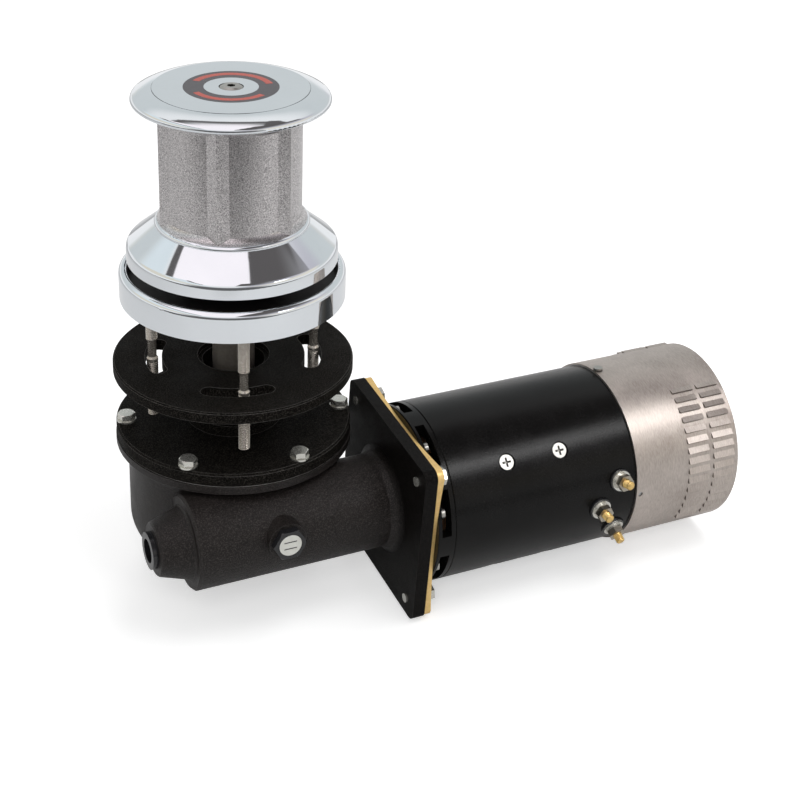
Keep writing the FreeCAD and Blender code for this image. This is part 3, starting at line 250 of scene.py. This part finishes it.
# Finishes. Each takes its colours from dark to light, and its roughness from smooth to dull.
def metal(name, dark, light, rough, grain, relief=0.0, metallic=1.0, painted_shade_reach=0.0):
    """A metal with a little drift in its colour and polish, and painted shade darkening its corners."""
    m, tree, shader = tree_of(name)
    shader.inputs["Metallic"].default_value = metallic
    drift = noise(tree, 18.0, 4.0)
    fine = noise(tree, grain, 2.0, 0.6)
    blend = span(tree, math_node(tree, "MULTIPLY_ADD", fine, 0.6, drift), 0.0, 1.0, 0.45, 1.15)
    colour = ramp(tree, blend, (0.0, dark), (1.0, light))
    if painted_shade_reach:
        # Painted shade: corners narrower than the reach are painted near-black.
        colour = mixed(tree, painted_shade_openness(tree, painted_shade_reach, 0.55, 0.93), (0.012, 0.011, 0.010), colour)
    tree.links.new(colour, shader.inputs["Base Color"])
    tree.links.new(span(tree, blend, *rough), shader.inputs["Roughness"])
    if relief:
        bump(tree, shader, fine, 0.6, relief)
    return m


def paint(name, dark, light, rough, specular, grain, relief, dust=0.0):
    """A sprayed paint with grain, patches of sheen and stray dust."""
    m, tree, shader = tree_of(name)
    shader.inputs["Specular IOR Level"].default_value = specular
    fine = noise(tree, grain, 3.0, 0.65)
    drift = noise(tree, 30.0, 5.0, 0.6)
    blend = span(tree, math_node(tree, "ADD", fine, drift), 0.0, 1.0, 0.7, 1.35)
    colour = ramp(tree, blend, (0.0, dark), (1.0, light))
    if dust:
        specks = ramp(tree, noise(tree, 420.0, 2.0, 0.5), (0.78, grey(0.0)), (0.82, grey(1.0)))
        colour = mixed(tree, specks, colour, grey(dust))
    tree.links.new(colour, shader.inputs["Base Color"])
    tree.links.new(span(tree, drift, *rough, 0.3, 0.7), shader.inputs["Roughness"])
    bump(tree, shader, fine, 0.7, relief)
    return m


def cast(name, dark, speck, rough, specular, edge_wear_highlight_colour, flange_shade_from=None):
    """A rough casting under black paint, with pale specks where the grain stands out.

    Outer edges go lighter, partly wear and partly a painted highlight. Beyond the x given as
    flange_shade_from the paint is darkened and duller as painted shade.
    """
    m, tree, shader = tree_of(name)
    shader.inputs["Specular IOR Level"].default_value = specular
    fine = noise(tree, 1050.0, 2.0, 0.55)
    drift = noise(tree, 30.0, 5.0, 0.6)
    body = ramp(tree, drift, (0.3, scaled(dark, 0.7)), (0.7, scaled(dark, 1.3)))
    colour = mixed(tree, edged(tree, fine, 0.46, 0.66), body, speck)
    # Painted highlight, partly wear: outer edges go lighter.
    edge_wear_and_highlight = product(tree, worn_edge_highlight(tree, 0.0008), span(tree, drift, 0.35, 1.0, 0.35, 0.6))
    colour = mixed(tree, edge_wear_and_highlight, colour, edge_wear_highlight_colour)
    # Painted shade: beyond the given x the flange face is darkened and its gloss lowered.
    if flange_shade_from is not None:
        place = add(tree, "ShaderNodeSeparateXYZ")
        tree.links.new(coords(tree), place.inputs["Vector"])
        flange_shade = edged(tree, place.outputs["X"], flange_shade_from - 0.006, flange_shade_from)
        colour = mixed(tree, product(tree, flange_shade, 0.72), colour, (0.001, 0.0009, 0.0008))
        tree.links.new(span(tree, flange_shade, specular, 0.25 * specular), shader.inputs["Specular IOR Level"])
    tree.links.new(colour, shader.inputs["Base Color"])
    tree.links.new(span(tree, drift, *rough, 0.3, 0.7), shader.inputs["Roughness"])
    bump(tree, shader, fine, 0.7, 0.0006)
    return m


def pressed_finish():
    """Brushed sheet with painted shade in the corners around its louvres."""
    m, tree, shader = tree_of("pressed_sheet")
    shader.inputs["Metallic"].default_value = 1.0
    drift = noise(tree, 20.0, 5.0, 0.6)
    lines = noise(tree, 240.0, 3.0, 0.6, (7.0, 1.0, 1.0))
    blend = span(tree, math_node(tree, "ADD", drift, lines), 0.0, 1.0, 0.75, 1.3)
    sheet = ramp(tree, blend, (0.0, (0.36, 0.315, 0.285)), (1.0, (0.58, 0.525, 0.485)))
    # Painted shade: the corners around the louvres go near-black.
    colour = mixed(tree, painted_shade_openness(tree, 0.0022, 0.35, 0.88), (0.05, 0.042, 0.035), sheet)
    tree.links.new(colour, shader.inputs["Base Color"])
    tree.links.new(span(tree, blend, 0.40, 0.52), shader.inputs["Roughness"])
    bump(tree, shader, lines, 0.5, 0.00004)
    return m


CHROME_DARK = (0.73, 0.76, 0.79)
CHROME_LIGHT = (0.77, 0.80, 0.83)


def polish(tree):
    return ramp(tree, noise(tree, 25.0, 4.0), (0.3, CHROME_DARK), (0.7, CHROME_LIGHT))


def drum_finish():
    """Polished drum with a sandblasted waist."""
    m, tree, shader = tree_of("drum_chrome")
    shader.inputs["Metallic"].default_value = 1.0
    radius, height = radius_and_height(tree)
    waist = product(tree, math_node(tree, "LESS_THAN", radius, WAIST_OUT_R),
                    math_node(tree, "GREATER_THAN", height, WAIST_LOW),
                    math_node(tree, "LESS_THAN", height, WAIST_HIGH))
    fine = noise(tree, 1500.0, 2.0, 0.6)
    grain = ramp(tree, fine, (0.36, (0.20, 0.19, 0.195)), (0.62, (0.82, 0.79, 0.79)))
    tree.links.new(mixed(tree, waist, polish(tree), grain), shader.inputs["Base Color"])
    tree.links.new(span(tree, waist, 0.05, 0.30), shader.inputs["Roughness"])
    bump(tree, shader, product(tree, fine, waist), 0.35, 0.00018)
    return m


def base_finish():
    """Polished ring with painted shade: its recess under the drum is near-black and matt."""
    m, tree, shader = tree_of("base_chrome")
    radius, height = radius_and_height(tree)
    # Painted shade: inside the recess the ring is near-black, matt and not metallic.
    recess = product(tree, math_node(tree, "LESS_THAN", radius, RECESS_R),
                     math_node(tree, "GREATER_THAN", height, RECESS_LOW))
    colour = mixed(tree, recess, polish(tree), (0.012, 0.010, 0.010))
    tree.links.new(colour, shader.inputs["Base Color"])
    tree.links.new(span(tree, recess, 1.0, 0.0), shader.inputs["Metallic"])
    tree.links.new(span(tree, recess, 0.04, 0.5), shader.inputs["Roughness"])
    return m


CHROME = metal("chrome", CHROME_DARK, CHROME_LIGHT, (0.03, 0.06), 60.0)
DRUM = drum_finish()
BASE = base_finish()
STEEL = metal("steel", (0.48, 0.47, 0.45), (0.66, 0.65, 0.63), (0.22, 0.36), 500.0)
SHAFT = metal("shaft_steel", (0.40, 0.35, 0.30), (0.62, 0.57, 0.50), (0.30, 0.40), 420.0, metallic=0.85)
STUD = metal("stud_steel", (0.34, 0.30, 0.26), (0.64, 0.60, 0.54), (0.18, 0.30), 420.0, metallic=0.75)
ZINC = metal("zinc", (0.50, 0.49, 0.44), (0.74, 0.73, 0.69), (0.16, 0.30), 350.0, 0.00004, metallic=0.8)
DULL = metal("dull_zinc", (0.24, 0.22, 0.18), (0.52, 0.48, 0.41), (0.24, 0.40), 350.0, 0.00004)
SCREW = metal("screw_zinc", (0.32, 0.31, 0.29), (0.52, 0.51, 0.48), (0.30, 0.44), 350.0, 0.00004,
              painted_shade_reach=0.0036)
BRASS = metal("brass", (0.62, 0.40, 0.13), (0.90, 0.66, 0.28), (0.24, 0.42), 420.0, 0.00008)
GOLD = metal("yellow_plating", (0.66, 0.42, 0.13), (0.92, 0.66, 0.28), (0.34, 0.5), 420.0, 0.00008,
             metallic=0.35)
BRONZE = metal("bronze", (0.42, 0.26, 0.10), (0.60, 0.40, 0.18), (0.3, 0.45), 300.0)
COPPER = metal("copper", (0.50, 0.22, 0.10), (0.74, 0.40, 0.22), (0.3, 0.45), 600.0)
IRON = metal("iron", grey(0.12), grey(0.24), (0.4, 0.6), 400.0, 0.0001)
ALLOY = metal("alloy", grey(0.36), grey(0.55), (0.4, 0.55), 500.0, 0.0001)
PRESSED = pressed_finish()
# One black paint in two copies: the housing's is lighter and glossier, a painted sheen, and the plate's
# and cover's is darker and duller, painted shade.
CAST_LIT = cast("cast_black_lit", (0.0085, 0.0068, 0.0062), (0.036, 0.031, 0.029), (0.36, 0.5), 0.22,
            (0.05, 0.046, 0.043), FLANGE_FACE_X)
CAST_SHADED = cast("cast_black_shaded", (0.0022, 0.0019, 0.0016), (0.030, 0.027, 0.023), (0.5, 0.7), 0.035,
              (0.17, 0.163, 0.155))
SATIN = paint("satin_black", (0.002, 0.0019, 0.0018), (0.007, 0.0066, 0.0064), (0.20, 0.27), 0.15,
              900.0, 0.0001, dust=0.1)
RUBBER = paint("rubber", grey(0.008), grey(0.02), (0.6, 0.8), 0.2, 900.0, 0.0001)
PLASTIC = paint("plastic", (0.008, 0.008, 0.009), (0.016, 0.016, 0.018), (0.16, 0.28), 0.5, 500.0, 0.00003)
CARBON = paint("carbon", grey(0.012), grey(0.03), (0.5, 0.7), 0.3, 1200.0, 0.0001)
RING = paint("ring_dark", (0.030, 0.024, 0.030), (0.055, 0.046, 0.054), (0.25, 0.35), 0.45, 300.0, 0.00002)
RED = paint("ring_red", (0.42, 0.055, 0.035), (0.55, 0.09, 0.06), (0.3, 0.4), 0.4, 500.0, 0.00002)
PALE = paint("pale_disc", (0.62, 0.62, 0.57), (0.74, 0.74, 0.69), (0.2, 0.35), 0.5, 200.0, 0.00002)
INK = paint("ink", grey(0.02), grey(0.05), (0.4, 0.5), 0.3, 400.0, 0.00002)
GASKET = paint("gasket", (0.30, 0.29, 0.28), (0.42, 0.41, 0.40), (0.5, 0.6), 0.3, 600.0, 0.00005)

FINISH = {
    "drum": DRUM, "drum_cap": CHROME, "cap_ring": RING, "cap_screw": SCREW, "drum_key": STEEL,
    "output_shaft": SHAFT, "shaft_spacer": STEEL, "shaft_circlip": STEEL, "wheel_hub": IRON,
    "wheel_rim": BRONZE, "wheel_bolts": ZINC, "wheel_key": STEEL, "worm_shaft": STEEL, "coupling": STEEL,
    "coupling_pins": STEEL, "armature_shaft": STEEL, "armature_core": IRON, "armature_windings": COPPER,
    "commutator": COPPER, "base_ring": BASE, "base_bush": BRONZE, "deck_studs": STUD,
    "mounting_plate": CAST_SHADED, "gearbox_cover": CAST_SHADED, "cover_gasket": GASKET, "cover_bolts": ZINC,
    "cover_washers": ZINC, "gearbox_housing": CAST_LIT, "upper_bearing": STEEL, "lower_bearing": STEEL,
    "shaft_seal": RUBBER, "oil_plug": PLASTIC, "oil_window": PALE, "worm_bearings": STEEL,
    "worm_seal": RUBBER, "crank_bush": PLASTIC, "adaptor_plate": GOLD, "flange_bolts": ZINC,
    "flange_washers": ZINC, "motor_bell": SATIN, "bell_screws": SCREW, "motor_tube": SATIN,
    "pole_screws": SCREW, "pole_shoes": IRON, "field_coils": COPPER, "terminal_studs": BRASS,
    "terminal_insulators": PLASTIC, "terminal_washers": ZINC, "terminal_springs": ZINC,
    "terminal_nuts": DULL, "motor_bearings": STEEL, "end_shield": ALLOY, "shield_screws": ZINC,
    "cover_band": PRESSED, "band_screw": SCREW, "brush_plate": CARBON, "brush_holders": BRASS,
    "brushes": CARBON, "brush_springs": STEEL,
}
for name, node in nodes.items():
    node.data.materials.clear()
    node.data.materials.append(FINISH[name])


# Pieces added to the solids: threads and marks.
def place_mesh(name, points, faces, body, material, smooth=True):
    mesh = bpy.data.meshes.new(name)
    mesh.from_pydata([tuple(v * MM for v in p) for p in points], [], faces)
    mesh.update()
    if smooth:
        mesh.polygons.foreach_set("use_smooth", [True] * len(mesh.polygons))
    mesh.materials.append(material)
    piece = bpy.data.objects.new(name, mesh)
    scene.collection.objects.link(piece)
    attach(piece, body)
    return piece


def plain(*rings):
    """Rings of a smooth rod, from pairs of height and radius."""
    return [(height, radius, 0.0) for height, radius in rings]


def thread_rows(start, stop, radius, pitch, rows=5):
    """Rings of a thread, each with its height, its radius and the depth of its groove."""
    count = int(abs(stop - start) / pitch * rows)
    return [(start + (stop - start) * i / count, radius, GROOVE * pitch) for i in range(count + 1)]


def threaded(points, faces, rings, pitch, around, put):
    """A rod through rings of (height, radius, groove depth); the groove runs round as a helix."""
    first = len(points)
    for height, radius, depth in rings:
        for k in range(around):
            turn = k / around
            phase = (height / pitch - turn) % 1.0
            r = radius - depth * (1.0 - abs(2.0 * phase - 1.0))
            a = 2.0 * math.pi * turn
            points.append(put(r * math.cos(a), r * math.sin(a), height))
    for i in range(len(rings) - 1):
        for k in range(around):
            a = first + i * around + k
            b = first + i * around + (k + 1) % around
            faces.append((a, b, b + around, a + around))
    last = first + (len(rings) - 1) * around
    faces.append(tuple(first + k for k in reversed(range(around))))
    faces.append(tuple(last + k for k in range(around)))


def upright(cx, cy):
    """Puts a rod's points along z at a place on the deck."""
    return lambda x, y, z: (cx + x, cy + y, z)


def out_of_tube(x0, angle):
    """Puts a rod's points along a radius of the motor's tube, raised by the angle from its front."""
    c, s = math.cos(angle), math.sin(angle)
    return lambda x, y, z: (x0 + x, AXIS_Y - z * c + y * s, AXIS_Z + z * s + y * c)


# Deck studs: threaded at both ends, slim between, with a plain collar at the plate. Close rings
# keep the corners of the slim part crisp.
rings = plain((STUD_TIP, STUD_R - STUD_CHAMFER))
rings += thread_rows(STUD_TIP + STUD_CHAMFER, SLIM_LOW - COLLAR_L, STUD_R, STUD_PITCH)
rings += plain((SLIM_LOW - COLLAR_L + 0.4, STUD_R), (SLIM_LOW - 0.2, STUD_R), (SLIM_LOW, STUD_R - 0.1),
               (SLIM_LOW + 1.4, SLIM_R + 0.05), (SLIM_LOW + 1.6, SLIM_R), (SLIM_TOP - 1.7, SLIM_R),
               (SLIM_TOP - 1.5, SLIM_R + 0.05), (SLIM_TOP - 0.5, STUD_R - 0.35))
rings += thread_rows(SLIM_TOP + 0.1, -0.4, STUD_R, STUD_PITCH)
rings += plain((0.0, STUD_SEAT_R + 0.1), (STUD_HEAD - 0.8, STUD_SEAT_R), (STUD_HEAD, STUD_SEAT_R - 0.8))
points, faces = [], []
for i in range(STUD_COUNT):
    a = math.radians(STUD_ANGLE + 360.0 / STUD_COUNT * i)
    put = upright(STUD_CIRCLE_R * math.cos(a), STUD_CIRCLE_R * math.sin(a))
    threaded(points, faces, rings, STUD_PITCH, 20, put)
studs = place_mesh("stud_threads", points, faces, "frame", STUD)
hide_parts("deck_studs")

# Terminals: threaded ends over plain shanks. Each has its place along the motor and its angle.
TERMINALS = ((293.3, 12.7), (274.5, -4.2), (293.7, -24.7))
thread_r = POST_R - 0.1
rings = plain((POST_FOOT, POST_HEAD_R), (POST_FOOT + POST_HEAD_T, POST_HEAD_R),
              (POST_FOOT + POST_HEAD_T, POST_R), (POST_THREAD - 0.6, POST_R))
rings += thread_rows(POST_THREAD, POST_END - 1.1, thread_r, POST_PITCH, 6)
rings += plain((POST_END - 1.0, thread_r), (POST_END, thread_r - 1.0))
points, faces = [], []
for x, angle in TERMINALS:
    threaded(points, faces, rings, POST_PITCH, 24, out_of_tube(x, math.radians(angle)))
posts = place_mesh("terminal_threads", points, faces, "frame", BRASS)
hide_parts("terminal_studs")

# Plain red bands on the cap's dark ring: middle and half angle, inner and outer radius.
BANDS = ((64.2, 70.0, 28.0, 33.5), (-115.8, 58.0, 27.5, 32.5))
points, faces = [], []
for middle, half, low_r, high_r in BANDS:
    start = len(points)
    end = start + 4 * BAND_STEPS
    for k in range(BAND_STEPS + 1):
        a = math.radians(middle - half + 2.0 * half * k / BAND_STEPS)
        points += [(r * math.cos(a), r * math.sin(a), z)
                   for r in (low_r, high_r) for z in (BAND_LOW, BAND_HIGH)]
    for i in range(start, end, 4):
        faces += [(i + 1, i + 3, i + 7, i + 5), (i, i + 4, i + 6, i + 2),
                  (i, i + 1, i + 5, i + 4), (i + 2, i + 6, i + 7, i + 3)]
    faces += [(start, start + 2, start + 3, start + 1), (end, end + 1, end + 3, end + 2)]
place_mesh("cap_bands", points, faces, "capstan", RED, False)

# Level marks on the oil window.
window_low, window_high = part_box("oil_window")
front = window_low.y / MM
middle = 0.5 * (window_low.z + window_high.z) / MM
points, faces = [], []
for height in (middle + MARK_RISE, middle - MARK_RISE):
    i = len(points)
    points += [(x, y, z) for x in (-MARK_HALF_L, MARK_HALF_L)
               for y in (front - MARK_PROUD, front + MARK_SUNK)
               for z in (height - MARK_HALF_W, height + MARK_HALF_W)]
    faces += [(i, i + 4, i + 5, i + 1), (i + 2, i + 3, i + 7, i + 6), (i, i + 2, i + 6, i + 4),
              (i + 1, i + 5, i + 7, i + 3), (i, i + 1, i + 3, i + 2), (i + 4, i + 6, i + 7, i + 5)]
place_mesh("level_marks", points, faces, "frame", INK, False)

# Camera direction, used for the studio as well: the softbox and the dark flags stand around it.
AZIMUTH, ELEVATION, ROLL = math.radians(-25.7746), math.radians(25.0739), math.radians(2.0625)
toward = Vector((math.sin(AZIMUTH), -math.cos(AZIMUTH), 0.0))
flat_right = Vector((math.cos(AZIMUTH), math.sin(AZIMUTH), 0.0))

# Floor, just under the lowest point. The eye sees it white, and metal sees it darken toward the
# camera's side.
FLOOR_DROP = 0.002
FLOOR_REACH = 6.0
FLOOR_WHITE = grey(0.86)
FLOOR_SHADE = grey(0.10)
SHADE_FROM, SHADE_TO = 0.66, 0.86
GLOW_SEEN, GLOW_MIRRORED = 0.5, 0.06
corners = ((-1, -1), (1, -1), (1, 1), (-1, 1))
floor_mesh = bpy.data.meshes.new("floor")
floor_mesh.from_pydata([(x * FLOOR_REACH, y * FLOOR_REACH, cad_low.z - FLOOR_DROP) for x, y in corners],
                       [], [(0, 1, 2, 3)])
floor = bpy.data.objects.new("floor", floor_mesh)
scene.collection.objects.link(floor)
m, tree, shader = tree_of("floor_white")
shader.inputs["Roughness"].default_value = 0.9
shader.inputs["Specular IOR Level"].default_value = 0.0
path = add(tree, "ShaderNodeLightPath")
mirrored = math_node(tree, "MAXIMUM", path.outputs["Is Glossy Ray"], path.outputs["Is Transmission Ray"])
glow = math_node(tree, "MAXIMUM", product(tree, path.outputs["Is Camera Ray"], GLOW_SEEN),
                 product(tree, mirrored, GLOW_MIRRORED))
forward = dot(tree, add(tree, "ShaderNodeNewGeometry").outputs["Position"], toward)
shade = product(tree, edged(tree, forward, SHADE_FROM, SHADE_TO), path.outputs["Is Glossy Ray"])
tree.links.new(mixed(tree, shade, FLOOR_WHITE, FLOOR_SHADE), shader.inputs["Base Color"])
shader.inputs["Emission Color"].default_value = (1.0, 1.0, 1.0, 1.0)
tree.links.new(glow, shader.inputs["Emission Strength"])
floor_mesh.materials.append(m)

# World: a plain fill for matt surfaces. The eye sees white, and metal sees a white room with a
# softbox overhead in front, dark flags around it, tinted sides and a dim zone behind the camera.
FILL = 0.45
world = bpy.data.worlds.new("studio")
scene.world = world
world.use_nodes = True
wt = world.node_tree
back = wt.nodes["Background"]
ray = add(wt, "ShaderNodeTexCoord").outputs["Generated"]
rise = dot(wt, ray, (0.0, 0.0, 1.0))
above = math_node(wt, "MAXIMUM", rise, 0.02)
ahead = math_node(wt, "DIVIDE", dot(wt, ray, toward), above)
side = math_node(wt, "DIVIDE", dot(wt, ray, flat_right), above)
overhead = edged(wt, rise, 0.13, 0.27)


def beyond(value, start, soft):
    return edged(wt, value, start - soft, start + soft)


def short_of(value, end, soft):
    return math_node(wt, "SUBTRACT", 1.0, beyond(value, end, soft))


def ceiling(*masks):
    """Where all the masks meet overhead."""
    return product(wt, overhead, *masks)


def panel(left, right, near, far, soft=0.012, soft_right=None):
    """A rectangle overhead, from left to right and from behind the object to the camera's side."""
    return ceiling(beyond(side, left, soft), short_of(side, right, soft_right or soft),
                   beyond(ahead, near, soft), short_of(ahead, far, 0.1))


BOX_LEFT, BOX_RIGHT, BOX_BACK, BOX_FRONT = -0.74, 0.22, -0.32, 1.6
FLAG_LEFT, FLAG_BACK = -0.86, -0.47
FLAG = (0.14, 0.13, 0.13)
behind_camera = product(wt, edged(wt, dot(wt, ray, toward), 0.62, 0.92), short_of(rise, 0.2, 0.12))
ROOM = (
    (ceiling(beyond(side, 0.8, 0.3)), (0.62, 0.60, 0.66)),
    (ceiling(beyond(side, 1.7, 0.4)), (0.92, 0.87, 0.76)),
    (ceiling(short_of(side, -0.9, 0.05)), (0.86, 0.93, 0.96)),
    (ceiling(short_of(side, -1.7, 0.4)), (0.84, 0.79, 0.68)),
    (ceiling(short_of(ahead, -0.9, 0.35)), (0.70, 0.735, 0.74)),
    (panel(BOX_RIGHT, 0.98, -0.5, BOX_FRONT, soft_right=0.42), (0.13, 0.12, 0.12)),
    (panel(BOX_LEFT, BOX_RIGHT, BOX_BACK, BOX_FRONT), (1.22, 1.14, 1.17)),
    (panel(FLAG_LEFT, BOX_LEFT, FLAG_BACK, BOX_FRONT), FLAG),
    (panel(FLAG_LEFT, 0.82, FLAG_BACK, BOX_BACK, 0.03), FLAG),
    (behind_camera, (0.16, 0.155, 0.16)),
)
room = (1.0, 1.0, 1.0)
for mask, tint in ROOM:
    room = mixed(wt, mask, room, tint)
path = add(wt, "ShaderNodeLightPath")
seen = math_node(wt, "MAXIMUM", path.outputs["Is Camera Ray"], path.outputs["Is Transmission Ray"])
shown = math_node(wt, "MAXIMUM", seen, path.outputs["Is Glossy Ray"])
wt.links.new(mixed(wt, path.outputs["Is Glossy Ray"], (1.0, 1.0, 1.0), room), back.inputs["Color"])
wt.links.new(span(wt, shown, FILL, 1.0), back.inputs["Strength"])


def softbox(name, place, aim, size, power, glossy=False):
    light = bpy.data.lights.new(name, "AREA")
    light.shape = "RECTANGLE"
    light.size, light.size_y = size
    light.energy = power
    lamp = bpy.data.objects.new(name, light)
    lamp.location = place
    lamp.rotation_euler = (Vector(aim) - Vector(place)).to_track_quat("-Z", "Y").to_euler()
    lamp.visible_glossy = glossy
    scene.collection.objects.link(lamp)
    return lamp


# Lamps: three for the matt surfaces, and a narrow strip that only shows as a gleam on the motor.
CENTRE = (0.12, -0.04, -0.05)
MOTOR_SPOT = (0.32, -0.15, -0.12)
softbox("key", (-0.9, -1.9, 1.5), CENTRE, (0.9, 0.9), 16.0)
softbox("top", (0.55, -0.55, 1.7), CENTRE, (1.2, 0.8), 11.0)
softbox("rim", (0.9, 1.6, 1.2), CENTRE, (1.0, 1.0), 7.0)
strip = softbox("motor_light", (0.50, -0.50, 0.36), MOTOR_SPOT, (0.5, 0.16), 0.25, True)
strip.visible_diffuse = False
strip.data.spread = math.radians(50.0)

# Camera at the photograph's viewing angle.
TARGET = Vector((0.1437962, 0.0039947, -0.0005958))
DISTANCE = 1.4124061
away = toward * math.cos(ELEVATION) + Vector((0.0, 0.0, math.sin(ELEVATION)))
flat_up = away.cross(flat_right)
right = flat_right * math.cos(ROLL) + flat_up * math.sin(ROLL)
up = flat_up * math.cos(ROLL) - flat_right * math.sin(ROLL)
spot = TARGET + away * DISTANCE
lens = bpy.data.cameras.new("camera")
lens.sensor_width = 36.0
lens.lens = 74.0253
lens.shift_x = 0.013128
lens.shift_y = -0.170844
camera = bpy.data.objects.new("camera", lens)
camera.matrix_world = Matrix.Translation(spot) @ Matrix((right, up, away)).transposed().to_4x4()
scene.collection.objects.link(camera)
scene.camera = camera
scene.view_settings.view_transform = "Standard"
